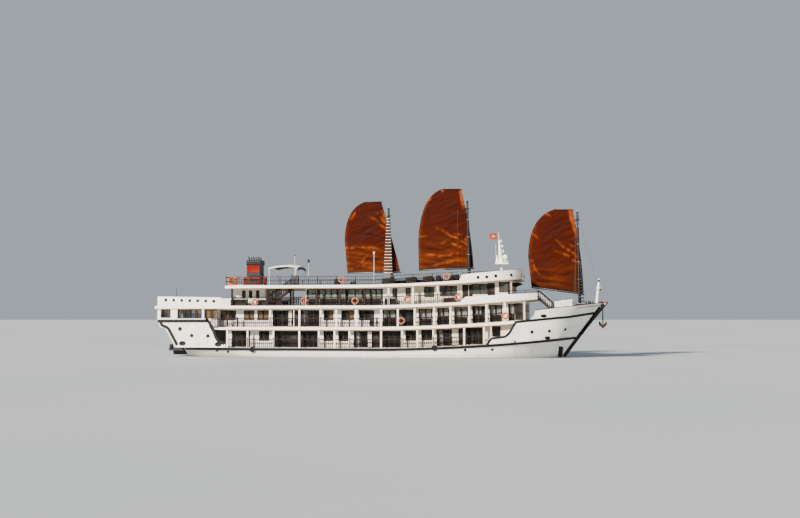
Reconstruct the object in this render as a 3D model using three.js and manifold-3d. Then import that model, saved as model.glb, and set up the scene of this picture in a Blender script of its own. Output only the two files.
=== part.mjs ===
// Three-masted junk-style cruise ship, built as a 1:2 scale model.
// Lengths below are those of the real ship in metres: +X to the bow, +Y to port, +Z up, waterline at z = 0.
// The whole group is scaled to model millimetres at the end.
import * as THREE from 'three';
import { mergeVertices } from 'three/addons/utils/BufferGeometryUtils.js';
import Module from 'manifold-3d';

const wasm = await Module();
wasm.setup();

// Driving dimensions
const MODEL_SCALE = 1 / 2;
const MM_PER_METRE = 1000;
const GAP = 0.002; // between touching pieces
const GRID = 1e-4; // corners closer than this are one corner
const WALL = 0.14; // deckhouse and bulwark plating
const DRAFT = 1.8;
const HALF_BEAM = 5.4;
const HOUSE_HALF = { lower: 4.4, middle: 4.4, upper: 4.2 };
const SLAB = 0.33; // deck edge depth
const LEVEL = { lower: 1.15, middle: 3.62, upper: 6.15, sun: 8.6 };
const SHEER_START = { lower: 1, middle: 1, upper: 0, sun: -1 };
const STATION_STEP = 2;
const RAIL_HEIGHT = 1.05;
const RAIL_INSET = 0.12;
const PILLAR = 0.2;

// Colours and finishes
const paint = (color, roughness = 0.5, metalness = 0) =>
  new THREE.MeshStandardMaterial({ color, roughness, metalness });
const WHITE = 0xe9e4d8;
const CREAM = 0xe6d9bd;
const BROWN = 0x4a2c1e;
const BLACK = 0x17181b;
const ORANGE = 0xc8421f;
const SAILCLOTH = 0x8a3413;
const BRONZE = 0x9a7440;

// Closed solids: joined and cut
function toSolid(geometry) {
  const bare = geometry.clone();
  bare.deleteAttribute('normal');
  bare.deleteAttribute('uv');
  const merged = mergeVertices(bare, GRID);
  const corners = Array.from(merged.index.array);
  const kept = [];
  for (let i = 0; i < corners.length; i += 3) {
    const [a, b, c] = corners.slice(i, i + 3);
    if (a !== b && b !== c && c !== a) kept.push(a, b, c);
  }
  return new wasm.Manifold(new wasm.Mesh({
    numProp: 3,
    vertProperties: new Float32Array(merged.attributes.position.array),
    triVerts: new Uint32Array(kept),
  }));
}

function fromSolid(solid) {
  const data = solid.getMesh();
  const geometry = new THREE.BufferGeometry();
  geometry.setAttribute('position', new THREE.BufferAttribute(new Float32Array(data.vertProperties), 3));
  geometry.setIndex(new THREE.BufferAttribute(new Uint32Array(data.triVerts), 1));
  return geometry;
}

const join = (...pieces) => fromSolid(pieces.map(toSolid).reduce((all, piece) => all.add(piece)));
const cut = (body, ...tools) => (
  fromSolid(tools.map(toSolid).reduce((rest, tool) => rest.subtract(tool), toSolid(body))));
const common = (a, b) => fromSolid(toSolid(a).intersect(toSolid(b)));

// Plain shapes
function block(...bounds) {
  const [x0, x1, y0, y1, z0, z1] = bounds.map((value) => Math.round(value / GRID) * GRID);
  const geometry = new THREE.BoxGeometry(x1 - x0, y1 - y0, z1 - z0);
  return geometry.translate((x0 + x1) / 2, (y0 + y1) / 2, (z0 + z1) / 2);
}

function rod(from, to, radius0, radius1 = radius0, sides = 8) {
  const start = new THREE.Vector3(...from);
  const end = new THREE.Vector3(...to);
  const length = start.distanceTo(end);
  const geometry = new THREE.CylinderGeometry(radius1, radius0, length, sides);
  const turn = new THREE.Quaternion().setFromUnitVectors(
    new THREE.Vector3(0, 1, 0), end.clone().sub(start).normalize());
  return geometry.applyQuaternion(turn).translate(...start.add(end).multiplyScalar(0.5).toArray());
}

function polygon(points) {
  return new THREE.Shape(points.map(([u, v]) => new THREE.Vector2(u, v)));
}

// A shape drawn in X and Z, as thick in Y as given
function sidePlate(shape, y0, y1, curveSegments = 8) {
  const geometry = new THREE.ExtrudeGeometry(shape, { depth: y1 - y0, bevelEnabled: false, curveSegments });
  return geometry.rotateX(Math.PI / 2).translate(0, y1, 0);
}

// A skin over equal rings of points, closed by a flat cap on each end
function loft(rings) {
  const count = rings[0].length;
  const points = rings.flat();
  const faces = [];
  for (let r = 0; r + 1 < rings.length; r += 1) {
    for (let i = 0; i < count; i += 1) {
      const a = r * count + i;
      const b = r * count + ((i + 1) % count);
      faces.push(a, b, b + count, a, b + count, a + count);
    }
  }
  const last = (rings.length - 1) * count;
  for (let i = 1; i + 1 < count; i += 1) {
    faces.push(0, i + 1, i, last, last + i, last + i + 1);
  }
  const geometry = new THREE.BufferGeometry();
  geometry.setAttribute('position', new THREE.Float32BufferAttribute(points.flat(), 3));
  geometry.setIndex(faces);
  const solid = toSolid(geometry);
  if (solid.volume() > 0) return geometry;
  geometry.setIndex(faces.map((_, i) => faces[i - (i % 3) + 2 - (i % 3)]));
  return geometry;
}

// Sheer: how far each deck rises towards the bow, straight between stations
function sheerCurve(distance) {
  return distance <= 0 ? 0 : 0.017 * distance + 0.002 * distance ** 2;
}

function deckTop(level, x) {
  const low = Math.floor(x / STATION_STEP) * STATION_STEP;
  const share = (x - low) / STATION_STEP;
  const start = SHEER_START[level];
  const rise = sheerCurve(low - start) * (1 - share) + sheerCurve(low + STATION_STEP - start) * share;
  return LEVEL[level] + rise;
}

const top = (level, above = 0) => (x) => deckTop(level, x) + above;
const under = (level, below = 0) => (x) => deckTop(level, x) - SLAB - below;

// A value read from rows of [x, value, ...], straight between rows
function readTable(rows, x, column = 1) {
  const next = rows.findIndex((row) => row[0] >= x);
  if (next === 0) return rows[0][column];
  if (next < 0) return rows[rows.length - 1][column];
  const [a, b] = [rows[next - 1], rows[next]];
  return a[column] + ((b[column] - a[column]) * (x - a[0])) / (b[0] - a[0]);
}

function stationsBetween(x0, x1, extra = []) {
  const all = new Set([x0, x1, ...extra.filter((x) => x > x0 && x < x1)]);
  const first = Math.max(Math.ceil(x0 / STATION_STEP) * STATION_STEP, -STATION_STEP);
  for (let x = first; x < x1; x += STATION_STEP) if (x > x0) all.add(x);
  return [...all].sort((a, b) => a - b);
}

// An upright wall along plan points, its foot and head following z functions of x
function wall(path, foot, head, thickness = WALL) {
  const rings = path.map(([x, y], i) => {
    const before = path[Math.max(i - 1, 0)];
    const after = path[Math.min(i + 1, path.length - 1)];
    const dx = after[0] - before[0];
    const dy = after[1] - before[1];
    const length = Math.hypot(dx, dy);
    const [nx, ny] = [(-dy / length) * thickness / 2, (dx / length) * thickness / 2];
    return [
      [x - nx, y - ny, foot(x - nx)], [x - nx, y - ny, head(x)],
      [x + nx, y + ny, head(x)], [x + nx, y + ny, foot(x + nx)],
    ];
  });
  return loft(rings);
}

const straightPath = (x0, x1, y) => stationsBetween(x0, x1).map((x) => [x, y]);
const mirrored = (path) => path.map(([x, y]) => [x, -y]);
const SIDES = { starboard: -1, port: 1 };

// Hull: half breadths and keel height at each station
const STEM = { footX: 21.7, tipX: 27, tipZ: 6.5 };
const stemZ = (x) => ((x - STEM.footX) * STEM.tipZ) / (STEM.tipX - STEM.footX);
const HULL_END = 23.7;
const BOW_END = 26.85;
const HULL_ROWS = [ // x, keel z, bilge half, waterline half, main deck half
  [-23.5, -0.15, 3.4, 4.3, 4.9],
  [-20, -0.4, 4.0, 4.8, 5.2],
  [-16, -1.2, 4.4, 5.15, 5.38],
  [-10, -DRAFT, 4.7, 5.3, HALF_BEAM],
  [6, -DRAFT, 4.7, 5.3, HALF_BEAM],
  [10, -DRAFT, 4.4, 5.15, HALF_BEAM],
  [14, -DRAFT, 3.6, 4.6, 5.3],
  [16, -DRAFT, 2.9, 4.1, 5.1],
  [18, -1.75, 2.0, 3.3, 4.7],
  [20, -1.45, 1.0, 2.3, 3.9],
  [21.2, -0.75, 0.4, 1.4, 3.1],
  [22, stemZ(22), 0.3, 0.9, 2.5],
  [HULL_END, stemZ(HULL_END), 0.12, 0.14, 0.16],
];
const SECTION = [ // share of height, share of the bilge, waterline and deck halves
  [0, 0.05, 0, 0],
  [0.05, 0.7, 0, 0],
  [0.2, 1, 0, 0],
  [0.62, 0, 1, 0],
  [1, 0, 0, 1],
];

function hullRing(x) {
  const deck = deckTop('lower', x);
  const keel = readTable(HULL_ROWS, x, 1);
  const halves = [2, 3, 4].map((column) => readTable(HULL_ROWS, x, column));
  const side = SECTION.map(([height, bilge, water, edge]) => [
    x, bilge * halves[0] + water * halves[1] + edge * halves[2], keel + height * (deck - keel),
  ]);
  return [...side.map(([a, y, z]) => [a, -y, z]), ...side.reverse()];
}

// Bow above the main deck: side plates that sweep up to the raised foredeck
const BOW_ROWS = [ // x, top z, half breadth at the top
  [13.3, 1.9, 5.35],
  [13.75, 2.45, 5.345],
  [15.3, 2.6, 5.3],
  [16, 3.0, 5.28],
  [16.4, 3.6, 5.25],
  [16.7, 4.33, 5.2],
  [18.3, 4.5, 4.95],
  [18.75, 5.1, 4.85],
  [18.9, 5.55, 4.8],
  [20, 5.68, 4.6],
  [21.2, 5.82, 4.2],
  [22, 5.91, 3.9],
  [HULL_END, 6.12, 2.9],
  [25, 6.28, 1.85],
  [26, 6.4, 0.95],
  [BOW_END, 6.5, 0.17],
];
const SHELL_STATIONS = [...HULL_ROWS, ...BOW_ROWS].map((row) => row[0]);
const BOW_WALK = { start: 13, end: 16.55, half: 5.02, above: 8 }; // main deck's walk between the plates

function bowRing(x) {
  const [rim, upper] = [1, 2].map((column) => readTable(BOW_ROWS, x, column));
  const lower = readTable(HULL_ROWS, x, 4);
  const foot = x > HULL_END ? stemZ(x) : deckTop('lower', x);
  const side = [[x, lower, foot], [x, (lower + upper) / 2, (foot + rim) / 2], [x, upper, rim]];
  return [...side.map(([a, y, z]) => [a, -y, z]), ...side.reverse()];
}

const FOREDECK = { start: 19.1, end: 26.4, below: 0.16, depth: 0.14, inset: 0.16 };
const foredeckTop = (x) => readTable(BOW_ROWS, x) - FOREDECK.below;
const PROPELLER = { x: -20.35, y: 2.2, z: -1.1, shaftFrom: -15, shaftRadius: 0.1, clear: 0.34 };
const RUDDER = { x: -21.55, y: 2.2, topZ: -0.42, bottomZ: -1.68, ahead: 0.3, behind: 0.85 };
const SKEG = [ // x, z of its outline
  [-19.4, -0.5], [-19.2, -1.3], [-16, -DRAFT], [-9, -DRAFT - 0.02], [-9, -1.5]];
const STRUT = { from: -19.75, to: -19.4, half: 0.05, topZ: -0.25 };

function foredeckPlan(inset, depthTop, depthBottom, extra = 0) {
  const rows = BOW_ROWS.filter(([x]) => x > FOREDECK.start && x < FOREDECK.end);
  const ends = [FOREDECK.start + extra, FOREDECK.end - extra].map((x) => [
    x, readTable(BOW_ROWS, x, 1), readTable(BOW_ROWS, x, 2)]);
  return loft([ends[0], ...rows, ends[1]].map(([x, rim, half]) => {
    const y = Math.max(half - inset, 0.1);
    const [low, high] = [rim - depthBottom, rim - depthTop];
    return [[x, -y, low], [x, -y, high], [x, y, high], [x, y, low]];
  }));
}

function hull() {
  const lower = loft(stationsBetween(HULL_ROWS[0][0], HULL_END, SHELL_STATIONS).map(hullRing));
  const upper = loft(stationsBetween(BOW_ROWS[0][0], BOW_END, SHELL_STATIONS).map(bowRing));
  const { start, end, half, above } = BOW_WALK;
  const walk = block(start, end, -half, half, deckTop('lower', start - 1), above);
  const well = foredeckPlan(FOREDECK.inset, -1, FOREDECK.below + FOREDECK.depth);
  const skeg = sidePlate(polygon(SKEG), -0.15, 0.15);
  const shafts = Object.values(SIDES).flatMap((side) => {
    const { x, z, shaftFrom, shaftRadius, clear } = PROPELLER;
    const y = side * PROPELLER.y;
    return [
      rod([shaftFrom, y, z], [x + clear, y, z], shaftRadius * 1.6, shaftRadius, 10),
      block(STRUT.from, STRUT.to, y - STRUT.half, y + STRUT.half, z, STRUT.topZ),
    ];
  });
  return cut(join(lower, cut(upper, walk), skeg, ...shafts), well);
}

function foredeck() {
  return foredeckPlan(FOREDECK.inset + GAP, FOREDECK.below, FOREDECK.below + FOREDECK.depth - GAP, GAP);
}

// Flat bar down the stem, with a hook at its tip
const STEM_BAR = {
  foot: 21.95, head: 26.9, inner: 0.04, outer: 0.2, half: 0.14, hook: [[27.02, 6.62], [27.2, 6.6]],
};

function stemBar() {
  const { foot, head, inner, outer, half, hook } = STEM_BAR;
  const face = (x, out) => [x + out, stemZ(x)];
  const outline = [face(foot, inner), face(head, inner), ...hook, face(head, outer), face(foot, outer)];
  return sidePlate(polygon(outline), -half, half);
}

// Rub strake along the main deck edge
const STRAKE = { start: -23.4, end: 22.6, depth: 0.3, proud: 0.12, buried: 0.4, belowTop: 0.02 };

function strake(side, body) {
  const sideShare = 1 - SECTION[3][0];
  const rings = stationsBetween(STRAKE.start, STRAKE.end, HULL_ROWS.map((row) => row[0])).map((x) => {
    const deck = deckTop('lower', x);
    const edge = readTable(HULL_ROWS, x, 4);
    const [high, low] = [deck - STRAKE.belowTop, deck - STRAKE.belowTop - STRAKE.depth];
    const flare = (edge - readTable(HULL_ROWS, x, 3)) / (sideShare * (deck - readTable(HULL_ROWS, x, 1)));
    const half = (z, out) => side * (edge - flare * (deck - z) + out);
    return [
      [x, half(low, -STRAKE.buried), low], [x, half(high, -STRAKE.buried), high],
      [x, half(high, STRAKE.proud), high], [x, half(low, STRAKE.proud), low],
    ];
  });
  return cut(loft(rings), body.clone().translate(0, side * GAP * 2, 0));
}

// Deck slabs: half breadth along the length
const MIDDLE_PLAN = [ // x, half
  [-25.5, 5.17], [-18.2, 5.17], [-18.1, 5.35],
  [12, 5.35], [14, 5.33], [16.5, 5.2]];
const UPPER_PLAN = [
  [-27.4, 4.3], [-27.3, 5.0], [-26.95, 5.3], [-26.4, 5.38],
  [14, 5.38], [16, 5.15], [18, 4.5], [19.05, 3.7]];
const SUN_PLAN = [
  [-18.8, 3.8], [-18.4, 4.7], [-17.5, 5.25], [-16.5, 5.38],
  [13, 5.38], [14.6, 5.1], [16, 4.4], [16.8, 3.5], [17.15, 2.6]];

function slab(level, plan) {
  const xs = stationsBetween(plan[0][0], plan[plan.length - 1][0], plan.map((row) => row[0]));
  return loft(xs.map((x) => {
    const half = readTable(plan, x);
    const z = deckTop(level, x);
    return [[x, -half, z - SLAB], [x, -half, z], [x, half, z], [x, half, z - SLAB]];
  }));
}

// The edge of a deck from one x to another on both sides, round its bow or stern
function edgePath(plan, xs, inset) {
  const near = xs.map((x) => [x, -(readTable(plan, x) - inset)]);
  return [...near, ...mirrored(near).reverse()];
}

// Deckhouse walls with their windows and doors cut
const WINDOW = { sill: 0.85, head: 1.95, threshold: 0.12 };
const OPENINGS = { // from x, to x, 1 where the opening reaches the deck
  lower: [
    [-17.6, -15.8, 1], [-14.2, -13, 0], [-12.5, -10.5, 1], [-8.8, -6.8, 1], [-6.2, -5.1, 0], [-4.4, -3.2, 0],
    [-2.5, -0.9, 1], [1, 3.1, 1], [3.7, 5, 0], [5.6, 6.8, 0], [7.4, 8.9, 1], [10.9, 13, 1], [13.9, 14.8, 0]],
  middle: [
    [-19, -17.2, 0], [-16.1, -14.9, 0], [-14.4, -13.1, 0], [-12.5, -10.7, 1], [-8.8, -6.8, 1], [-6.2, -5.1, 0],
    [-4, -2.6, 0], [-1.9, -0.6, 0], [1, 2.5, 1], [3.3, 4.7, 1], [5.3, 6.8, 0], [7.5, 8.8, 1], [9.5, 11, 0],
    [11.6, 13, 1], [13.6, 15, 0], [15.8, 16.5, 0]],
  upper: [
    [-8.2, -7.3, 0], [-6.8, -4.7, 0], [-4.3, -3.6, 0], [-3.3, -1.6, 0], [-1.2, 0.7, 0], [2.1, 2.6, 0],
    [3.7, 4.2, 0], [5.9, 7, 0], [7.8, 9.7, 0], [11.6, 13.3, 0], [14.7, 15.7, 0]],
};
const HOUSE = {
  lower: { start: -18.05, end: 16.45, above: 'middle' },
  middle: { start: -19.1, end: 17.5, above: 'upper' },
  upper: { start: -8.45, end: 16, above: 'sun' },
};
const DOOR = { width: 0.72, height: 1.95, thickness: 0.07, clear: 0.012, over: 0.08 };
const DOORS = { lower: 9.9, upper: 11.1 }; // x of the hinge edge

function houseSide(level, side) {
  const { start, end, above } = HOUSE[level];
  const y = side * (HOUSE_HALF[level] - WALL / 2);
  const panel = wall(straightPath(start, end, y), top(level, GAP), under(above, GAP));
  const reach = [Math.min(y - side, y + side), Math.max(y - side, y + side)];
  const holes = OPENINGS[level].map(([x0, x1, door]) => {
    const deck = deckTop(level, (x0 + x1) / 2);
    return block(x0, x1, ...reach, deck + (door ? WINDOW.threshold : WINDOW.sill), deck + WINDOW.head);
  });
  const hinge = DOORS[level];
  if (hinge) {
    const deck = deckTop(level, hinge - DOOR.width / 2);
    const head = deck + DOOR.height + DOOR.over;
    holes.push(block(hinge - DOOR.width - 2 * DOOR.clear, hinge, ...reach, deck - 1, head));
  }
  return cut(panel, ...holes);
}

const END_WINDOWS = { // from y, to y, height of the sill above the deck
  lowerAft: [[-1, -0.2, 0.1]],
  middleAft: [[-3.2, -1.4, 0.1], [1.4, 3.2, 0.1]],
  middleFront: [[-3.4, -1.6, 0.9], [-0.9, 0.9, 0.9], [1.6, 3.4, 0.9]],
  upperAft: [[-3.2, -1.2, 0.1], [-0.8, 0.8, 0.1], [1.2, 3.2, 0.1]],
  upperFront: [[-3.7, -2, 0.9], [-1.7, -0.1, 0.9], [0.1, 1.7, 0.9], [2, 3.7, 0.9]],
};

function houseEnd(level, x, windows) {
  const half = HOUSE_HALF[level] - WALL - GAP;
  const deck = deckTop(level, x + WALL) + GAP;
  const roof = deckTop(HOUSE[level].above, x) - SLAB - GAP;
  const panel = block(x, x + WALL, -half, half, deck, roof);
  const holes = windows.map(([y0, y1, low]) => block(x - 1, x + 1, y0, y1, deck + low, deck + WINDOW.head - 0.1));
  return holes.length ? cut(panel, ...holes) : panel;
}

function door(level, side) {
  const hinge = DOORS[level];
  const y = side * HOUSE_HALF[level];
  const [y0, y1] = [Math.min(y, y - side * DOOR.thickness), Math.max(y, y - side * DOOR.thickness)];
  const deck = deckTop(level, hinge) + DOOR.clear * 2;
  return block(hinge - DOOR.clear - DOOR.width, hinge - DOOR.clear, y0, y1, deck, deck + DOOR.height);
}

// Aft house on the upper deck: four walls and a doorway to the terrace
const AFT_HOUSE = {
  start: -17.39, end: -13.71, half: 3.64, windows: [-16.65, -15.8, -14.9], windowWidth: 0.45, sill: 0.9, head: 1.9,
  doorHalf: 0.8, threshold: 0.1,
};

function aftHouse() {
  const { start, end, half, windows, windowWidth, sill, head, doorHalf, threshold } = AFT_HOUSE;
  const [foot, roof] = [LEVEL.upper + GAP, LEVEL.sun - SLAB - GAP];
  const panes = windows.map((x) => block(x, x + windowWidth, -half - 1, half + 1, foot + sill, foot + head));
  return cut(
    block(start, end, -half, half, foot, roof),
    block(start + WALL, end - WALL, -half + WALL, half - WALL, foot - 1, roof + 1),
    block(end - 1, end + 1, -doorHalf, doorHalf, foot + threshold, foot + head),
    ...panes,
  );
}

// Open galleries: pillars between decks, short newels and a hand rail
const GALLERIES = {
  lower: {
    pillars: [-17.95, -15.4, -12.2, -9, -6.6, -4.7, -2.9, 0.9, 3.4, 5.2, 7.1, 10.7, 13],
    newels: [], railEnd: 13.1,
  },
  middle: {
    pillars: [-12.6, -9, -6.4, -4.5, -2.1, 0.9, 2.9, 4.9, 7.2, 9.1, 11.3, 13.3, 15.4],
    newels: [-17.98, -16.7], railEnd: 15.5,
  },
  upper: { pillars: [-17.4, -13, -9.8, -6.9, -4.1, -1.1, 1.8, 4.7, 7.6], newels: [], railEnd: 10.3 },
};
const GALLERY_RAIL = { edge: 5.32, depth: 0.08, width: 0.09, newelHeight: 1.2 };

function gallery(level, side) {
  const { pillars, newels, railEnd } = GALLERIES[level];
  const { above } = HOUSE[level];
  const y = side * (GALLERY_RAIL.edge - RAIL_INSET);
  const half = PILLAR / 2;
  const path = straightPath([...newels, ...pillars][0] - half, railEnd, y);
  const { depth, width, newelHeight } = GALLERY_RAIL;
  const rail = wall(path, top(level, RAIL_HEIGHT - depth), top(level, RAIL_HEIGHT), width);
  const post = (x, head) => (
    block(x - half, x + half, y - half, y + half, deckTop(level, x + half) + GAP, head));
  return join(
    rail,
    ...newels.map((x) => post(x, deckTop(level, x) + newelHeight)),
    ...pillars.map((x) => post(x, deckTop(above, x - half) - SLAB - GAP)),
  );
}

// Railing round the sun deck with its lamp posts
const SUN_RAIL = {
  bends: [10.1, 8, 6, 4, 2, 0, -2, -16.5, -17.5, -18.4, -18.7],
  posts: [-18.3, -16.5, -13.7, -11.4, -9.1, -6.8, -4.5, -2.2, 0.1, 2.4, 4.7, 7, 9.3],
  sternX: -18.7, sternPosts: [-2.4, 0, 2.4], middle: 0.55, depth: 0.06, width: 0.07,
};
const LAMP_POSTS = [[-9.6, 12.2, -1], [-7.9, 11.5, -1], [0.05, 12.4, -1], [9.2, 13.5, 1]]; // x, top z, side

function sunRailing() {
  const { bends, posts, sternX, sternPosts, middle, depth, width } = SUN_RAIL;
  const path = edgePath(SUN_PLAN, bends, RAIL_INSET);
  const rail = (height) => wall(path, top('sun', height - depth), top('sun', height), width);
  const post = (x, y, head) => rod([x, y, deckTop('sun', x) + GAP * 3], [x, y, head], 0.04, 0.035, 4);
  const railTop = (x) => deckTop('sun', x) + RAIL_HEIGHT - depth / 2;
  const railPosts = posts.flatMap((x) => Object.values(SIDES).map((side) => [x, railTop(x), side]));
  const sidePosts = [...railPosts, ...LAMP_POSTS].map(([x, head, side]) => (
    post(x, side * (readTable(SUN_PLAN, x) - RAIL_INSET), head)));
  return join(
    rail(RAIL_HEIGHT), rail(middle), ...sidePosts,
    ...sternPosts.map((y) => post(sternX, y, railTop(sternX))),
  );
}

// White bulwarks at the ends of the decks
const STERN_PLAN = [[-26.95, 4.7], [-26.85, 5.12], [-26.6, 5.32], [-26.2, 5.38], [-17.9, 5.38]]; // x, half
const STERN_BULWARK_TOP = [[-27, 7.32], [-18.75, 7.18], [-18.4, 6.7], [-17.9, 6.35]];
const BRIDGE_BULWARK_TOP = [[10.4, 6.75], [10.9, 7.13], [14.8, 7.36], [19.05, 7.6]];
const SUN_BULWARK_TOP = [[10.2, 9.2], [10.5, 9.72], [14.8, 10.15], [17.15, 10.34]];
const BOW_STAIRS = { y: 2.5, gateHalf: 0.5, gateSill: 7.3 };

function bulwark(level, plan, topRows, xs) {
  const path = edgePath(plan, xs, WALL / 2);
  return wall(path, top(level, GAP * 3), (x) => readTable(topRows, x));
}

function sternBulwark() {
  return bulwark('upper', STERN_PLAN, STERN_BULWARK_TOP, [-17.9, -18.4, -18.75, -26.2, -26.6, -26.85, -26.9]);
}

function bridgeBulwark() {
  const ring = bulwark('upper', UPPER_PLAN, BRIDGE_BULWARK_TOP, [10.4, 10.9, 12, 14, 14.8, 16, 18, 18.98]);
  const { y, gateHalf, gateSill } = BOW_STAIRS;
  const gates = [-y, y].map((middle) => block(18, 20, middle - gateHalf, middle + gateHalf, gateSill, 9));
  return cut(ring, ...gates);
}

function sunBulwark() {
  return bulwark('sun', SUN_PLAN, SUN_BULWARK_TOP, [10.2, 10.5, 12, 13, 14, 14.6, 14.8, 16, 16.8, 17.08]);
}

// Stern shell: raked transom and quarters, with the stern cabin's windows and the open gallery
const STERN = {
  half: 5.34, front: -18.15, end: -27, thick: 0.15,
  corners: [[0.5, 0], [0.12, 0.2], [0, 0.6]], // how far the plan is cut back along X and Y
  aft: [[-24.45, 1.1], [-25.4, 2.8], [-25.83, 3.43], [-26.42, 3.6], [-26.9, 4.4], [-26.95, 5.8]], // x, z
  fore: [[-19.2, 3.66], [-19.95, 3.62], [-19.6, 3.2], [-19.2, 2.33], [-18.95, 1.95], [-18.15, 1.5]],
  sideWindows: [[-24.2, -21.2], [-20.8, -19.2]], sill: 4.7, head: 5.76,
  gallery: [-26.4, -25.1], aftWindows: [[-2.9, -1.1], [-0.85, 0.85], [1.1, 2.9]],
  gallerySill: 4.7, galleryHead: 5.76,
};

function sternPlan(inset) {
  const [half, end] = [STERN.half - inset, STERN.end + inset];
  const starboard = [[STERN.front, -half], ...STERN.corners.map(([x, y]) => [end + x, y - half])];
  const shape = polygon([...starboard, ...mirrored(starboard).reverse()]);
  return new THREE.ExtrudeGeometry(shape, { depth: 12, bevelEnabled: false }).translate(0, 0, -3);
}

function sternProfile(shift, [low, high]) {
  const aft = STERN.aft.map(([x, z]) => [x + shift, z]);
  const [foot, head] = [aft[0][0], aft[aft.length - 1][0]];
  const { fore, front } = STERN;
  const outline = [[foot, low], ...aft, [head, high], [fore[0][0], high], ...fore, [front, low]];
  return sidePlate(polygon(outline), -6, 6);
}

function sternShell() {
  const { half, thick, sideWindows, sill, head, gallery: open, aftWindows, gallerySill, galleryHead } = STERN;
  const outer = common(sternPlan(0), sternProfile(0, [LEVEL.lower + GAP, LEVEL.upper - SLAB - GAP]));
  const inner = common(sternPlan(thick), sternProfile(thick, [-1, 8]));
  const front = block(-21, -15, thick - half, half - thick, -2, 9);
  return cut(
    outer, inner, front, block(...open, -9, 9, gallerySill, galleryHead),
    ...sideWindows.map(([x0, x1]) => block(x0, x1, -9, 9, sill, head)),
    ...aftWindows.map(([y0, y1]) => block(-28, -26, y0, y1, gallerySill, galleryHead)),
  );
}

const PLATFORM = {
  start: -26, end: -23.62, half: 3.6, top: 1.09, depth: 0.4, bracketY: 2.6, bracketFoot: 0.2,
};

function swimPlatform() {
  const { start, end, half, top: deck, depth, bracketY, bracketFoot } = PLATFORM;
  const brackets = [-bracketY, bracketY].map((y) => (
    block(start + 0.2, end, y - 0.08, y + 0.08, bracketFoot, deck - depth + 0.01)));
  return join(block(start, end, -half, half, deck - depth, deck), ...brackets);
}

// Stairs: treads between two stringers
const STRINGER = { foot: 0.3, head: 0.1, drop: 0.25, half: 0.03 };
const TREAD = { half: 0.13, low: 0.08, high: 0.02 };

function stair({ x0, z0, x1, z1, y, width, steps }) {
  const [dx, dz] = [(x1 - x0) / steps, (z1 - z0) / steps];
  const ahead = Math.sign(dx);
  const outline = [
    [x0, z0], [x0 + STRINGER.foot * ahead, z0], [x1, z1 - STRINGER.drop],
    [x1, z1], [x1 - STRINGER.head * ahead, z1]];
  const stringers = [y - width / 2, y + width / 2].map((middle) => (
    sidePlate(polygon(outline), middle - STRINGER.half, middle + STRINGER.half)));
  const treads = Array.from({ length: steps - 1 }, (_, i) => {
    const [x, z] = [x0 + dx * (i + 1), z0 + dz * (i + 1)];
    return block(x - TREAD.half, x + TREAD.half, y - width / 2, y + width / 2, z - TREAD.low, z - TREAD.high);
  });
  return join(...stringers, ...treads);
}

const SUN_STAIR = { x0: -13.3, z0: 6.17, x1: -10.2, z1: 8.25, y: -4.4, width: 0.75, steps: 11 };

// Two flights from the upper deck to the foredeck, on one landing plate
function bowStairs() {
  const flight = (y) => stair({ x0: 20.75, z0: 5.67, x1: 19.12, z1: 7.1, y, width: 0.8, steps: 7 });
  const reach = BOW_STAIRS.y + 0.45;
  return join(flight(-BOW_STAIRS.y), flight(BOW_STAIRS.y), block(20.3, 20.8, -reach, reach, 5.64, 5.7));
}

// Funnel, awning and life floats on the sun deck
const FUNNEL = {
  casing: [[-17, LEVEL.sun + GAP], [-14.95, LEVEL.sun + GAP], [-15.27, 10.3], [-15.27, 11.3], [-17, 11.3]],
  cap: [[-17.03, 11.28], [-15.2, 11.28], [-15.2, 11.85], [-17.03, 11.85]], // x, z
  half: 0.8, capHalf: 0.87,
  pipes: [-16.6, -16, -15.4], pipeY: 0.5, pipeRadius: 0.09, pipeFoot: 11.7, pipeTop: 12.35, rake: 0.3,
};

function funnel() {
  const { casing, cap, half, capHalf, pipes, pipeY, pipeFoot, pipeTop, rake } = FUNNEL;
  const pipe = (x, y) => rod([x, y, pipeFoot], [x - rake, y, pipeTop], FUNNEL.pipeRadius);
  return join(
    sidePlate(polygon(casing), -half, half), sidePlate(polygon(cap), -capHalf, capHalf),
    ...pipes.flatMap((x) => [pipe(x, -pipeY), pipe(x, pipeY)]),
  );
}

const AWNING = {
  start: -13.9, end: -10.2, middle: -12.05, half: 2, thick: 0.08, endZ: 10.88, crown: 11.56,
  poles: [-13.76, -10.38], poleY: 1.9, poleTop: 10.9, bar: [10.7, 10.84], barInset: 0.1,
};

function awning() {
  const { start, end, middle, half, thick, endZ, crown, poles, poleY, poleTop, bar, barInset } = AWNING;
  const arch = new THREE.Shape();
  arch.moveTo(start, endZ);
  arch.quadraticCurveTo(middle, crown, end, endZ);
  arch.lineTo(end, endZ - thick);
  arch.quadraticCurveTo(middle, crown - thick, start, endZ - thick);
  const foot = LEVEL.sun + GAP * 3;
  return join(
    sidePlate(arch, -half, half),
    ...poles.flatMap((x) => [-poleY, poleY].map((y) => rod([x, y, foot], [x, y, poleTop], 0.05, 0.05, 6))),
    ...[-poleY, poleY].map((y) => block(start + barInset, end - barInset, y - 0.03, y + 0.03, ...bar)),
  );
}

// Life floats: upright rings on a low rack, open in the middle where they are wide enough
const FLOATS = {
  rings: { starboard: [[-18.05, -17], [-16.15, -14.1], [-13.65, -13.3]], port: [[-18.05, -17]] }, // from x, to x
  near: 4.35, far: 4.75, foot: 0.1, top: 9.68, tube: 0.27, rackInset: 0.1, rackTop: 0.14,
};

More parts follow.
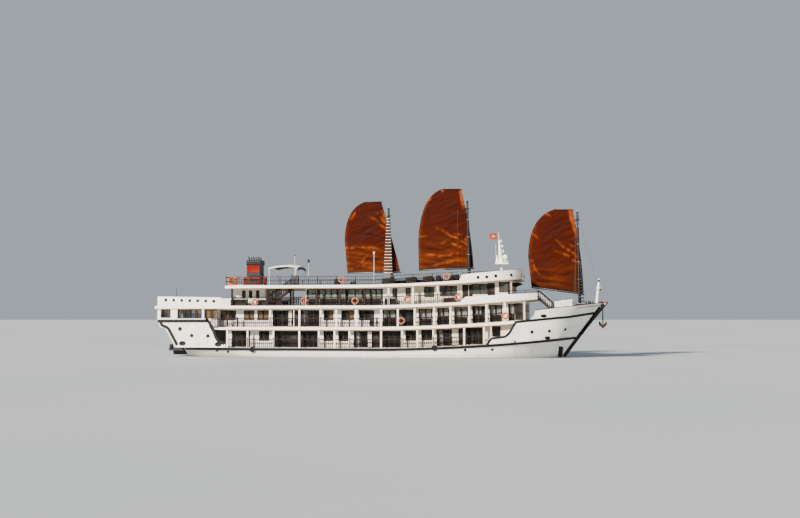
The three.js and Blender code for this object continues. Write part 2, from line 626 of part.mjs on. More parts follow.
function lifeFloats(sideName, side) {
  const { near, far, foot, top: head, tube, rackInset, rackTop } = FLOATS;
  const rings = FLOATS.rings[sideName];
  const [y0, y1] = side < 0 ? [-far, -near] : [near, far];
  const ends = [rings[0][0] + rackInset, rings[rings.length - 1][1] - rackInset];
  const rack = block(...ends, y0 + rackInset, y1 - rackInset, LEVEL.sun + GAP, LEVEL.sun + rackTop);
  return join(rack, ...rings.map(([x0, x1]) => {
    const solid = block(x0, x1, y0, y1, LEVEL.sun + foot, head);
    if (x1 - x0 < 3 * tube) return solid;
    return cut(solid, block(x0 + tube, x1 - tube, y0 - 1, y1 + 1, LEVEL.sun + foot + tube, head - tube));
  }));
}

// Masts and their sails
const MAST = { footRadius: 0.2, headRadius: 0.12, baseHalf: 0.4, baseHeight: 0.35 };
const RIGS = { // mast foot and head, sail corners in X and Z, and the bulge of its leech
  mizzen: {
    foot: [1.27, deckTop('sun', 1.27 + MAST.baseHalf) + GAP], head: [0.8, 18.2],
    clew: [-4.42, 10.37], leech: [-4.78, 14.2], shoulder: [-2.3, 19.0], peak: [-0.26, 19.08], tack: [2.17, 10.36],
    leechPull: [-4.75, 18.2], luffPull: [1.25, 14],
  },
  main: {
    foot: [10.75, deckTop('sun', 10.75 + MAST.baseHalf) + GAP], head: [10.5, 18.95],
    clew: [4.52, 10.63], leech: [4.45, 14.2], shoulder: [7.6, 20.46], peak: [9.66, 20.44], tack: [11.19, 10.8],
    leechPull: [4.75, 19.9], luffPull: [10.95, 15],
  },
  fore: {
    foot: [23.88, foredeckTop(23.88 + MAST.baseHalf) + GAP], head: [23.68, 17.4],
    clew: [18.2, 8.45], leech: [17.82, 12], shoulder: [21.05, 17.72], peak: [23.07, 17.7], tack: [24.33, 7.6],
    leechPull: [17.9, 16.9], luffPull: [24.1, 13],
  },
};
const SAIL = { y: 0.5, thickness: 0.06, sparRadius: 0.07 };

function mast({ foot, head }) {
  const { baseHalf: half, baseHeight } = MAST;
  const pole = rod([foot[0], 0, foot[1]], [head[0], 0, head[1]], MAST.footRadius, MAST.headRadius, 12);
  return join(pole, block(foot[0] - half, foot[0] + half, -half, half, foot[1], foot[1] + baseHeight));
}

function sail({ clew, leech, leechPull, shoulder, peak, luffPull, tack }) {
  const shape = new THREE.Shape();
  shape.moveTo(...clew);
  shape.lineTo(...leech);
  shape.quadraticCurveTo(...leechPull, ...shoulder);
  shape.lineTo(...peak);
  shape.quadraticCurveTo(...luffPull, ...tack);
  return sidePlate(shape, SAIL.y - SAIL.thickness / 2, SAIL.y + SAIL.thickness / 2, 12);
}

const mastAt = ({ foot, head }, z) => foot[0] + ((head[0] - foot[0]) * (z - foot[1])) / (head[1] - foot[1]);

function collar(rig, z) {
  const share = (z - rig.foot[1]) / (rig.head[1] - rig.foot[1]);
  const inner = MAST.footRadius + (MAST.headRadius - MAST.footRadius) * share + 0.03;
  const profile = [[inner, -0.06], [inner + 0.08, -0.06], [inner + 0.08, 0.06], [inner, 0.06], [inner, -0.06]];
  const ring = new THREE.LatheGeometry(profile.map(([r, h]) => new THREE.Vector2(r, h)), 12).rotateX(Math.PI / 2);
  const x = mastAt(rig, z);
  const arm = block(x - 0.05, x + 0.05, inner + 0.03, SAIL.y + 0.13, z - 0.05, z + 0.05);
  return join(ring.translate(x, 0, z), arm);
}

const between = ([x0, z0], [x1, z1], x) => z0 + ((z1 - z0) * (x - x0)) / (x1 - x0);

function spars(rig) {
  const { clew, shoulder, peak, tack } = rig;
  const y = SAIL.y + SAIL.thickness / 2 + SAIL.sparRadius + GAP;
  const drop = SAIL.sparRadius + 0.03;
  const at = (x, z) => [x, y, z];
  const boomZ = (x) => between(clew, tack, x) - drop;
  const yardZ = peak[1] - drop;
  const midX = (clew[0] + tack[0]) / 2;
  const collarZ = [boomZ(rig.foot[0]), rig.head[1] - 1];
  return join(
    rod(at(clew[0] - 0.1, boomZ(clew[0])), at(tack[0] + 0.1, boomZ(tack[0])), SAIL.sparRadius),
    rod(at(shoulder[0] - 0.1, yardZ), at(peak[0] + 0.15, yardZ), SAIL.sparRadius),
    rod(at(midX, boomZ(midX)), at(midX, yardZ), SAIL.sparRadius),
    rod(at(mastAt(rig, collarZ[1]), collarZ[1]), at(midX, collarZ[1] - 0.6), SAIL.sparRadius),
    ...collarZ.map((z) => collar(rig, z)),
  );
}

// Signal mast above the wheelhouse, and the light mast on the bow
const SIGNAL_MAST = {
  footX: 14.75, platform: [13.95, 15.5], platformHalf: 0.7, platformZ: [11.15, 11.3], head: [14.35, 14.05],
  radome: [15.1, 12], radomeRadius: 0.32, aerial: [14.28, 15],
};

function signalMast() {
  const { footX, platform, platformHalf, platformZ, head, radome, radomeRadius, aerial } = SIGNAL_MAST;
  const foot = deckTop('sun', footX + 0.15) + GAP * 3;
  return join(
    rod([footX, 0, foot], [footX - 0.2, 0, platformZ[1] + 0.1], 0.12),
    rod([footX - 0.15, 0, platformZ[0] + 0.05], [head[0], 0, head[1]], 0.3, 0.09),
    block(...platform, -platformHalf, platformHalf, ...platformZ),
    rod([radome[0], 0, platformZ[0] + 0.1], [radome[0], 0, radome[1] - radomeRadius + 0.07], 0.08),
    new THREE.SphereGeometry(radomeRadius, 12, 8).rotateX(Math.PI / 2).translate(radome[0], 0, radome[1]),
    rod([head[0], 0, head[1] - 0.05], [aerial[0], 0, aerial[1]], 0.03, 0.03, 6),
  );
}

const LIGHT_MAST = {
  footX: 25.85, footY: 0.45, clear: 0.03, head: [26.1, 8.9], top: [26.13, 9.35], plate: [25.8, 26.3], plateZ: 8.2,
};

function lightMast() {
  const { footX, footY, clear, head, top: tip, plate, plateZ } = LIGHT_MAST;
  const deck = foredeckTop(footX + 0.1) + clear;
  return join(
    ...[-footY, footY].map((y) => rod([footX, y, deck], [head[0], 0, head[1]], 0.09, 0.09, 6)),
    rod([head[0], 0, head[1] - 0.1], [tip[0], 0, tip[1]], 0.1, 0.08, 6),
    block(...plate, -0.3, 0.3, plateZ, plateZ + 0.08),
  );
}

// Ground tackle and deck gear on the foredeck
const ANCHOR = { x: 26.55, y: 0.6, davit: 25.7, crown: 3.48, shank: 5.4, arm: 6.62, fluke: 0.4 };

function anchor() {
  const { x, y, davit, crown, shank, arm, fluke: reach } = ANCHOR;
  const fluke = (dx) => sidePlate(polygon([
    [x, crown + 0.07], [x, crown + 0.32], [x + dx, crown + 0.87], [x + dx * 1.25, crown + 0.62],
    [x + dx, crown + 0.27]]), y - 0.09, y + 0.09);
  return join(
    block(x - 0.07, x + 0.07, y - 0.07, y + 0.07, crown + 0.02, shank),
    block(x - 0.15, x + 0.15, y - 0.3, y + 0.3, crown, crown + 0.14),
    fluke(-reach), fluke(reach),
    block(x - 0.05, x + 0.05, y - 0.04, y + 0.04, shank - 0.05, arm - 0.07),
    block(davit, x + 0.08, y - 0.06, y + 0.06, arm - 0.1, arm),
    block(davit, davit + 0.15, y - 0.06, y + 0.06, foredeckTop(davit + 0.15) + GAP, arm - 0.07),
  );
}

const WINDLASS = {
  base: [24.45, 25.5], half: 0.95, drum: 25, drumRadius: 0.2, drumHalf: 0.55, cheek: 0.28,
  bollards: [24.6, 25, 25.4], bollardY: 0.8,
};

function windlass() {
  const { base, half, drum, drumRadius, drumHalf, cheek, bollards, bollardY } = WINDLASS;
  const deck = foredeckTop(base[1]) + GAP;
  const axle = deck + 0.35;
  return join(
    block(...base, -half, half, deck, deck + 0.1),
    rod([drum, -drumHalf, axle], [drum, drumHalf, axle], drumRadius, drumRadius, 12),
    ...[-cheek, cheek].map((y) => block(drum - 0.15, drum + 0.15, y - 0.06, y + 0.06, deck + 0.05, deck + 0.45)),
    ...bollards.flatMap((x) => [-bollardY, bollardY].map((y) => (
      rod([x, y, deck + 0.05], [x, y, deck + 0.5], 0.09)))),
  );
}

const LOCKER = {
  from: 21.4, to: 22.6, half: 1.4, height: 0.75, hatch: [21.7, 22.3], hatchHalf: 0.6, hatchTop: 0.95,
};

function lockers() {
  const { from, to, half, height, hatch, hatchHalf, hatchTop } = LOCKER;
  const deck = foredeckTop(to) + GAP;
  return join(
    block(from, to, -half, half, deck, deck + height),
    block(...hatch, -hatchHalf, hatchHalf, deck + height - 0.05, deck + hatchTop),
  );
}

// Underwater gear
function propeller() {
  const hub = rod([-0.3, 0, 0], [0.3, 0, 0], 0.09, 0.13, 12);
  const blades = Array.from({ length: 4 }, (_, i) => {
    const blade = new THREE.CylinderGeometry(0.5, 0.5, 0.035, 12).scale(0.5, 1, 0.58).translate(0, 0, 0.36);
    return blade.rotateZ(Math.PI / 3).rotateX((i * Math.PI) / 2);
  });
  return join(hub, ...blades);
}

function rudder() {
  const { ahead, behind, topZ, bottomZ } = RUDDER;
  const blade = polygon([[ahead, 0], [0.1, 0.09], [-behind, 0.02], [-behind, -0.02], [0.1, -0.09]]);
  const geometry = new THREE.ExtrudeGeometry(blade, { depth: topZ - 0.1 - bottomZ, bevelEnabled: false });
  return join(geometry.translate(0, 0, bottomZ), rod([0, 0, topZ - 0.3], [0, 0, topZ], 0.07));
}

// The ship
const ship = new THREE.Group();

function add(name, geometry, material, position = [0, 0, 0]) {
  const mesh = new THREE.Mesh(geometry, material);
  mesh.name = name;
  mesh.position.set(...position);
  ship.add(mesh);
}

const white = paint(WHITE, 0.45);
const cream = paint(CREAM, 0.55);
const brown = paint(BROWN, 0.6);
const black = paint(BLACK, 0.5);

const hullBody = hull();
add('hull', hullBody, white);
add('foredeck', foredeck(), brown);
add('stem_bar', stemBar(), black);
add('stern_shell', sternShell(), white);
add('swim_platform', swimPlatform(), black);
add('deck_middle', slab('middle', MIDDLE_PLAN), brown);
add('deck_upper', slab('upper', UPPER_PLAN), brown);
add('deck_sun', slab('sun', SUN_PLAN), brown);
add('stern_bulwark', sternBulwark(), white);
add('bridge_bulwark', bridgeBulwark(), white);
add('sun_bulwark', sunBulwark(), white);
add('house_aft', aftHouse(), white);
add('house_lower_aft_wall', houseEnd('lower', HOUSE.lower.start - WALL - GAP, END_WINDOWS.lowerAft), white);
add('house_middle_aft_wall', houseEnd('middle', -19.3, END_WINDOWS.middleAft), cream);
add('house_middle_front', houseEnd('middle', HOUSE.middle.end + GAP, END_WINDOWS.middleFront), cream);
add('house_upper_aft_wall', houseEnd('upper', HOUSE.upper.start - WALL - GAP, END_WINDOWS.upperAft), brown);
add('house_upper_front', houseEnd('upper', HOUSE.upper.end + GAP, END_WINDOWS.upperFront), cream);
add('railing_sun_deck', sunRailing(), brown);

for (const [sideName, side] of Object.entries(SIDES)) {
  add(`rub_strake_${sideName}`, strake(side, hullBody), black);
  for (const level of ['lower', 'middle', 'upper']) {
    add(`house_${level}_${sideName}`, houseSide(level, side), level === 'lower' ? white : cream);
    add(`gallery_${level}_${sideName}`, gallery(level, side), white);
  }
  for (const level of Object.keys(DOORS)) add(`door_${level}_${sideName}`, door(level, side), brown);
  add(`life_floats_${sideName}`, lifeFloats(sideName, side), paint(ORANGE, 0.6));
  const propellerPlace = [PROPELLER.x, side * PROPELLER.y, PROPELLER.z];
  add(`propeller_${sideName}`, propeller(), paint(BRONZE, 0.35, 0.9), propellerPlace);
  add(`rudder_${sideName}`, rudder(), black, [RUDDER.x, side * RUDDER.y, 0]);
}

for (const [name, rig] of Object.entries(RIGS)) {
  add(`${name}_mast`, mast(rig), black);
  add(`${name}_sail`, sail(rig), paint(SAILCLOTH, 0.85));
  add(`${name}_spars`, spars(rig), brown);
}

add('stair_upper_to_sun', stair(SUN_STAIR), brown);
add('stairs_bow', bowStairs(), brown);
add('funnel', funnel(), paint(ORANGE, 0.5));
add('awning', awning(), white);
add('signal_mast', signalMast(), white);
add('light_mast', lightMast(), white);
add('anchor', anchor(), black);
add('windlass', windlass(), black);
add('foredeck_lockers', lockers(), white);

ship.scale.setScalar(MM_PER_METRE * MODEL_SCALE);

export default ship;
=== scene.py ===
from math import atan2, ceil, cos, exp, floor, hypot, pi, radians, sin

import bmesh
import bpy
from mathutils import Matrix, Vector, noise


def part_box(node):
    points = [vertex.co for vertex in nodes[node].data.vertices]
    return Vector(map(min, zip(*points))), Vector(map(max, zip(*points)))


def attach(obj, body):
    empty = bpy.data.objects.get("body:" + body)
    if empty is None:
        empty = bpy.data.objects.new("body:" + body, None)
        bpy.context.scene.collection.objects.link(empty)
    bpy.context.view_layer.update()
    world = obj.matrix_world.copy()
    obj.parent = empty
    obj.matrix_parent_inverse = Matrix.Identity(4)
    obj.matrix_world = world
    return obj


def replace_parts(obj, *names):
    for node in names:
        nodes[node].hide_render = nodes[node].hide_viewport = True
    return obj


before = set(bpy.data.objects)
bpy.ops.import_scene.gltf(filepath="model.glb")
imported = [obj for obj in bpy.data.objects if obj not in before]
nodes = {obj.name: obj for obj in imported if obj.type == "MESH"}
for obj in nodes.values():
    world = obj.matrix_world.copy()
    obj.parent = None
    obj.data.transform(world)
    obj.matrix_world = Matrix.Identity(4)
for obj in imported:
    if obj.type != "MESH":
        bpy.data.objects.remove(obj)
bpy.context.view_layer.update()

shipScale = 0.5  # lengths below are the real ship's, in metres
sides = {"starboard": -1, "port": 1}
quarter = radians(90)


def at(x, y, z):
    return Vector((x, y, z)) * shipScale


cameraView = {"place": (25.78, -133.56, 4.58), "pitch": 93.09, "turn": 10, "lens": 50, "reach": 3000}
bpy.ops.object.camera_add(
    location=at(*cameraView["place"]), rotation=(radians(cameraView["pitch"]), 0, radians(cameraView["turn"])))
camera = bpy.context.object
camera.name = "quaysideCamera"
camera.data.lens = cameraView["lens"]
camera.data.clip_end = cameraView["reach"]
bpy.context.scene.camera = camera
print("camera placed")

# the ship's lines, as its solids have them
decks = {
    "lower": {"height": 1.15, "sheerFrom": 1, "above": "middle"},
    "middle": {"height": 3.62, "sheerFrom": 1, "above": "upper"},
    "upper": {"height": 6.15, "sheerFrom": 0, "above": "sun"},
    "sun": {"height": 8.6, "sheerFrom": -1},
}
slabDepth = 0.33
deckPlans = {
    "middle": [(-18.1, 5.35), (12, 5.35), (14, 5.33), (16.5, 5.2)],
    "upper": [
        (-27.4, 4.3), (-27.3, 5.0), (-26.95, 5.3), (-26.4, 5.38), (14, 5.38), (16, 5.15), (18, 4.5), (19.05, 3.7)],
    "sun": [
        (-18.8, 3.8), (-18.4, 4.7), (-17.5, 5.25), (-16.5, 5.38), (13, 5.38), (14.6, 5.1), (16, 4.4),
        (16.8, 3.5), (17.15, 2.6)],
}
bowRim = [
    (18.9, 5.55, 4.8), (20, 5.68, 4.6), (21.2, 5.82, 4.2), (22, 5.91, 3.9), (23.7, 6.12, 2.9), (25, 6.28, 1.85),
    (26, 6.4, 0.95), (26.85, 6.5, 0.17)]  # x, z, half breadth


def readTable(rows, x, column=1):
    if x <= rows[0][0]:
        return rows[0][column]
    for before, after in zip(rows, rows[1:]):
        if x <= after[0]:
            share = (x - before[0]) / (after[0] - before[0])
            return before[column] + (after[column] - before[column]) * share
    return rows[-1][column]


def sheerRise(distance):
    return 0.017 * distance + 0.002 * distance ** 2 if distance > 0 else 0


def deckTop(level, x):
    low = floor(x / 2) * 2
    share = (x - low) / 2
    start = decks[level]["sheerFrom"]
    return decks[level]["height"] + sheerRise(low - start) * (1 - share) + sheerRise(low + 2 - start) * share


def foredeckTop(x):
    return readTable(bowRim, x) - 0.16


def bend(start, pull, end, share):
    back = 1 - share
    return tuple(back * back * a + 2 * back * share * b + share * share * c for a, b, c in zip(start, pull, end))


def legLengths(points):
    return [hypot(b[0] - a[0], b[1] - a[1]) for a, b in zip(points, points[1:])]


def evenly(points, count):
    run = [0]
    for length in legLengths(points):
        run.append(run[-1] + length)
    columns = [[(length, point[axis]) for length, point in zip(run, points)] for axis in (0, 1)]
    return [tuple(readTable(column, run[-1] * step / count) for column in columns) for step in range(count + 1)]


# selecting and shaping
def deselectAll():
    if bpy.context.mode != "OBJECT":
        bpy.ops.object.mode_set(mode="OBJECT")
    bpy.ops.object.select_all(action="DESELECT")


def take(*chosen):
    deselectAll()
    for piece in chosen:
        piece.select_set(True)
    bpy.context.view_layer.objects.active = chosen[0]


def openEdit(piece, test=None, mode="FACE"):
    take(piece)
    bpy.ops.object.mode_set(mode="EDIT")
    bpy.ops.mesh.select_mode(type=mode)
    bpy.ops.mesh.select_all(action="SELECT" if test is None else "DESELECT")
    if test:
        mesh = bmesh.from_edit_mesh(piece.data)
        for part in mesh.faces if mode == "FACE" else mesh.edges:
            part.select_set(bool(test(part)))
        bmesh.update_edit_mesh(piece.data)


def closeEdit():
    bpy.ops.object.mode_set(mode="OBJECT")


def bevelAll(piece, width, segments=1):
    openEdit(piece, mode="EDGE")
    bpy.ops.mesh.bevel(offset=width * shipScale, segments=segments, affect="EDGES")
    closeEdit()
    return piece


def insetFaces(piece, test, *steps, cuts=0, slot=None):
    openEdit(piece, test)
    if cuts:
        bpy.ops.mesh.subdivide(number_cuts=cuts)
    for width, depth in steps:
        bpy.ops.mesh.inset(thickness=width * shipScale, depth=depth * shipScale, use_individual=True)
    if slot:
        piece.active_material_index = slot
        bpy.ops.object.material_slot_assign()
    closeEdit()
    return piece


def splitEdges(piece, axis, least, cuts):
    openEdit(piece, lambda edge: abs((edge.verts[0].co - edge.verts[1].co)[axis]) > least, "EDGE")
    bpy.ops.mesh.subdivide(number_cuts=cuts)
    closeEdit()
    return piece


def liftEdges(piece, rise, test):
    openEdit(piece, lambda edge: all(test(vertex.co / shipScale) for vertex in edge.verts), "EDGE")
    bpy.ops.transform.translate(value=at(0, 0, rise))
    closeEdit()
    return piece


def turnOutwards(piece):
    openEdit(piece)
    bpy.ops.mesh.normals_make_consistent(inside=False)
    closeEdit()


def applyModifier(piece, kind, **settings):
    take(piece)
    modifier = piece.modifiers.new(kind.title(), kind)
    for key, value in settings.items():
        setattr(modifier, key, value)
    bpy.ops.object.modifier_apply(modifier=modifier.name)
    return piece


def thicken(piece, thickness, offset=0):
    return applyModifier(piece, "SOLIDIFY", thickness=thickness * shipScale, offset=offset)


def repeatAlong(piece, step, count):
    return applyModifier(
        piece, "ARRAY", count=count, use_relative_offset=False, use_constant_offset=True,
        constant_offset_displace=at(*step))


def addShape(kind, **settings):
    deselectAll()
    getattr(bpy.ops.mesh, "primitive_" + kind + "_add")(**settings)
    shape = bpy.context.object
    take(shape)
    bpy.ops.object.transform_apply(location=True, rotation=True, scale=True)
    return shape


def addBlock(low, high, bevel=0.0, segments=1):
    low, high = at(*low), at(*high)
    block = addShape("cube", size=1, location=(low + high) / 2, scale=high - low)
    return bevelAll(block, bevel, segments) if bevel else block


def addRod(start, end, radius, headRadius=None, corners=8):
    start, end = at(*start), at(*end)
    along = end - start
    headRadius = radius if headRadius is None else headRadius
    return addShape(
        "cone", vertices=corners, radius1=radius * shipScale, radius2=headRadius * shipScale, depth=along.length,
        location=(start + end) / 2, rotation=along.to_track_quat("Z", "Y").to_euler())


def addPost(x, y, low, high, *shape):
    return addRod((x, y, low), (x, y, high), *shape)


def addTorus(place, radius, tube, turned=(0, 0, 0), around=24, across=8):
    return addShape(
        "torus", location=at(*place), rotation=turned, major_segments=around, minor_segments=across,
        major_radius=radius * shipScale, minor_radius=tube * shipScale)


def addSheet(columns, rows):
    return addShape("grid", x_subdivisions=columns, y_subdivisions=rows, size=1)


def linkNew(name, data):
    piece = bpy.data.objects.new(name, data)
    bpy.context.scene.collection.objects.link(piece)
    return piece


def tubeAlong(points, radius, corners=6, closed=False):
    line = bpy.data.curves.new("line", "CURVE")
    line.dimensions = "3D"
    line.bevel_depth = radius * shipScale
    line.bevel_resolution = max(0, corners // 2 - 2)
    line.use_fill_caps = not closed
    spline = line.splines.new("POLY")
    spline.points.add(len(points) - 1)
    for point, place in zip(spline.points, points):
        point.co = (*at(*place), 1)
    spline.use_cyclic_u = closed
    take(linkNew("line", line))
    bpy.ops.object.convert(target="MESH")
    return bpy.context.object


def movedBy(x, y, z):
    return Matrix.Translation(at(x, y, z))


def addPanel(columns, rows, x0, x1, y, z0, z1):
    panel = addSheet(columns, rows)
    panel.data.transform(
        movedBy((x0 + x1) / 2, y, (z0 + z1) / 2) @ Matrix.Rotation(quarter, 4, "X")
        @ Matrix.Diagonal((*at(x1 - x0, z1 - z0, 0).xy, 1, 1)))
    return panel


def followSheer(piece, level):
    for vertex in piece.data.vertices:
        vertex.co.z += deckTop(level, vertex.co.x / shipScale) * shipScale
    return piece


def addBar(x0, x1, y, width, low, high, level, bevel=0.0):
    bar = addBlock((x0, y - width / 2, low), (x1, y + width / 2, high))
    splitEdges(bar, 0, 1e-4, max(1, ceil((x1 - x0) / 2)))
    return followSheer(bevelAll(bar, bevel) if bevel else bar, level)


def joinAs(name, parts):
    parts = parts if isinstance(parts, list) else [parts]
    take(*parts)
    if len(parts) > 1:
        bpy.ops.object.join()
    bpy.context.object.name = name
    return bpy.context.object


def paintWith(piece, *keys):
    piece.data.materials.clear()
    for key in keys:
        piece.data.materials.append(finishes[key])
    return piece


def finishPiece(piece, *keys, body="ship", angle=30):
    if keys:
        paintWith(piece, *keys)
    take(piece)
    bpy.ops.object.shade_smooth_by_angle(angle=radians(angle))
    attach(piece, body)
    return piece


def addPiece(name, parts, *keys, **manner):
    return finishPiece(joinAs(name, parts), *keys, **manner)


def mirrorToPort(piece, name):
    double = linkNew(name, piece.data.copy())
    double.data.transform(Matrix.Diagonal((1, -1, 1, 1)))
    openEdit(double)
    bpy.ops.mesh.flip_normals()
    closeEdit()
    return double


def bothSides(stem, parts, *keys):
    piece = joinAs(stem + "Starboard", parts)
    double = mirrorToPort(piece, stem + "Port")
    return finishPiece(piece, *keys), finishPiece(double, *keys)


def facesUp(face):
    return face.normal.z > 0.85


def facesDown(face):
    return face.normal.z < -0.85


def facesOut(face):
    return face.normal.y < -0.9


def facesAcross(face):
    return abs(face.normal.y) > 0.9


def faceHeights(face):
    heights = [face.id_data.vertices[index].co.z / shipScale for index in face.vertices]
    return min(heights), max(heights)


def tallFace(face):
    low, high = faceHeights(face)
    return high - low > 1.2


def slotFaces(piece, *tests, first=1):
    for slot, test in enumerate(tests, first):
        for face in piece.data.polygons:
            if test(face):
                face.material_index = slot


def plate(node, name, *keys, soft=(), slots=(), **manner):
    plating = linkNew(name, nodes[node].data.copy())
    take(plating)
    if plating.data.has_custom_normals:
        bpy.ops.mesh.customdata_custom_splitnormals_clear()
    openEdit(plating)
    bpy.ops.mesh.remove_doubles(threshold=0.0002)
    bpy.ops.mesh.dissolve_limited(angle_limit=radians(0.5))
    closeEdit()
    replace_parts(plating, node)
    for segments, width in enumerate(soft, 1):
        applyModifier(
            plating, "BEVEL", width=width * shipScale, segments=segments, limit_method="ANGLE",
            angle_limit=radians(40))
    paintWith(plating, *keys)
    slotFaces(plating, *slots)
    return finishPiece(plating, **manner)


# node finishes
def newFinish(name, **inputs):
    finish = bpy.data.materials.new(name)
    finish.use_nodes = True
    shader = finish.node_tree.nodes["Principled BSDF"]
    for key, value in inputs.items():
        shader.inputs[key.replace("_", " ")].default_value = value
    return finish, finish.node_tree, shader


def addNode(tree, kind, values=None, **settings):
    node = tree.nodes.new("ShaderNode" + kind)
    for key, value in settings.items():
        setattr(node, key, value)
    for key, value in (values or {}).items():
        if isinstance(value, bpy.types.NodeSocket):
            tree.links.new(value, node.inputs[key])
        else:
            node.inputs[key].default_value = value
    return node


def spread(tree, stretch=(1, 1, 1), turned=(0, 0, 0)):
    coords = addNode(tree, "TexCoord")
    return addNode(
        tree, "Mapping", {"Vector": coords.outputs["Object"], "Scale": stretch, "Rotation": turned}).outputs[0]


def cloudy(tree, scale, detail=4, stretch=(1, 1, 1), low=0.35, high=0.65):
    grain = addNode(
        tree, "TexNoise", {"Vector": spread(tree, stretch), "Scale": scale, "Detail": detail, "Roughness": 0.6})
    return addNode(
        tree, "MapRange", {"Value": grain.outputs["Fac"], "From Min": low, "From Max": high}).outputs[0]


def mark(tree, name):
    return addNode(tree, "Attribute", attribute_name=name).outputs["Fac"]


def blend(tree, factor, first, second):
    mix = addNode(tree, "Mix", data_type="RGBA", blend_type="MIX")
    for index, value in ((0, factor), (6, first), (7, second)):
        if isinstance(value, bpy.types.NodeSocket):
            tree.links.new(value, mix.inputs[index])
        else:
            mix.inputs[index].default_value = value if index == 0 else (*value, 1)
    return mix.outputs[2]


def sums(tree, kind, first, second, clamp=False):
    return addNode(tree, "Math", {0: first, 1: second}, operation=kind, use_clamp=clamp).outputs[0]


def times(tree, first, second, clamp=False):
    return sums(tree, "MULTIPLY", first, second, clamp)


def rest(tree, share):
    return sums(tree, "SUBTRACT", 1.0, share)


def setLook(tree, shader, colour, factor, rough, relief, strength, distance):
    tree.links.new(colour, shader.inputs["Base Color"])
    if rough:
        low, high = rough
        mapped = addNode(tree, "MapRange", {"Value": factor, "To Min": low, "To Max": high})
        tree.links.new(mapped.outputs[0], shader.inputs["Roughness"])
    if relief:
        bump = addNode(tree, "Bump", {"Height": relief, "Strength": strength, "Distance": distance})
        tree.links.new(bump.outputs[0], shader.inputs["Normal"])


def along(tree, axis, low, high):
    coords = addNode(tree, "TexCoord")
    parts = addNode(tree, "SeparateXYZ", {"Vector": coords.outputs["Object"]})
    return addNode(tree, "MapRange", {
        "Value": parts.outputs[axis], "From Min": low * shipScale, "From Max": high * shipScale}).outputs[0]


def bricks(tree, turned, first, second, mortar, sizes, **settings):
    width, height, gap, smooth = sizes
    return addNode(tree, "TexBrick", {
        "Vector": spread(tree, turned=turned), "Scale": 1.0, "Mortar Size": gap, "Brick Width": width,
        "Row Height": height, "Mortar Smooth": smooth, "Color1": (*first, 1), "Color2": (*second, 1),
        "Mortar": (*mortar, 1)}, **settings)


bottomColours = (0.13, 0.035, 0.022), (0.075, 0.03, 0.022)


def hullPaint():
    finish, tree, shader = newFinish("hullPaint")
    mottled = cloudy(tree, 0.9, 6)
    runs = cloudy(tree, 3.2, 5, (1, 1, 0.09), 0.52, 0.78)
    white = blend(tree, mottled, (0.89, 0.87, 0.81), (0.80, 0.77, 0.70))
    streaked = blend(tree, times(tree, runs, 0.5), white, (0.50, 0.455, 0.38))
    damp = times(tree, rest(tree, along(tree, "Z", 0.1, 0.95)), 0.75)
    scummed = sums(tree, "ADD", damp, times(tree, cloudy(tree, 2.4, 6, (1, 1, 0.3)), 0.2), True)
    grimy = blend(tree, times(tree, scummed, damp), streaked, (0.34, 0.35, 0.29))
    aft, low = rest(tree, along(tree, "X", -18, -6)), rest(tree, along(tree, "Z", 0.85, 1.1))
    grimy = blend(tree, times(tree, times(tree, aft, low), 0.55), grimy, (0.44, 0.44, 0.36))
    below = rest(tree, along(tree, "Z", 0.02, 0.05))
    painted = blend(tree, below, grimy, blend(tree, cloudy(tree, 5, 5), *bottomColours))
    plates = bricks(tree, (quarter, 0, 0), (1, 1, 1), (0.96, 0.96, 0.96), (0.6, 0.6, 0.6), (1.5, 0.62, 0.006, 0.6))
    dents = blend(tree, 0.25, plates.outputs["Color"], cloudy(tree, 1.6, 3))
    setLook(tree, shader, painted, mottled, (0.34, 0.52), dents, 0.35, 0.02)
    return finish


def paint(name, colour, worn, boards=0.0, dirt=0.35, forward=None):
    finish, tree, shader = newFinish(name)
    mottled = cloudy(tree, 6, 5)
    runs = cloudy(tree, 7, 5, (1, 1, 0.12), 0.5, 0.8)
    if forward:
        colour = blend(tree, along(tree, "X", 0.5, 5.0), colour, forward)
    base = blend(tree, times(tree, mottled, 0.5), colour, worn)
    relief = cloudy(tree, 40, 3), 0.08, 0.004
    if boards:
        wave = addNode(tree, "TexWave", {
            "Vector": spread(tree), "Scale": boards, "Distortion": 0.0}, bands_direction="X", wave_profile="SAW")
        relief = wave.outputs["Fac"], 0.5, 0.006
    setLook(tree, shader, blend(tree, times(tree, runs, dirt), base, worn), mottled, (0.35, 0.55), *relief)
    return finish


def deckPlanks():
    finish, tree, shader = newFinish("deckPlanks")
    planks = bricks(
        tree, (0, 0, 0), (0.17, 0.085, 0.042), (0.115, 0.058, 0.03), (0.012, 0.01, 0.009), (1.7, 0.062, 0.0035, 0.2),
        offset=0.37)
    grain = cloudy(tree, 14, 8, (0.12, 1, 1))
    timber = blend(tree, times(tree, grain, 0.45), planks.outputs["Color"], (0.24, 0.14, 0.08))
    timber = blend(tree, times(tree, cloudy(tree, 1.2, 5), 0.35), timber, (0.20, 0.155, 0.12))
    setLook(tree, shader, timber, grain, (0.45, 0.7), planks.outputs["Fac"], -0.4, 0.006)
    return finish


def wood(name, dark, light, grainRun=(1, 1, 0.08), rough=(0.4, 0.6), coat=0.0):
    finish, tree, shader = newFinish(name, Specular_IOR_Level=0.18, Coat_Weight=coat, Coat_Roughness=0.2)
    grain = cloudy(tree, 22, 8, grainRun)
    faded = [min(1, value * 1.6 + 0.02) for value in light]
    timber = blend(tree, times(tree, cloudy(tree, 2.5, 4), 0.25), blend(tree, grain, dark, light), faded)
    setLook(tree, shader, timber, grain, rough, grain, 0.2, 0.003)
    return finish


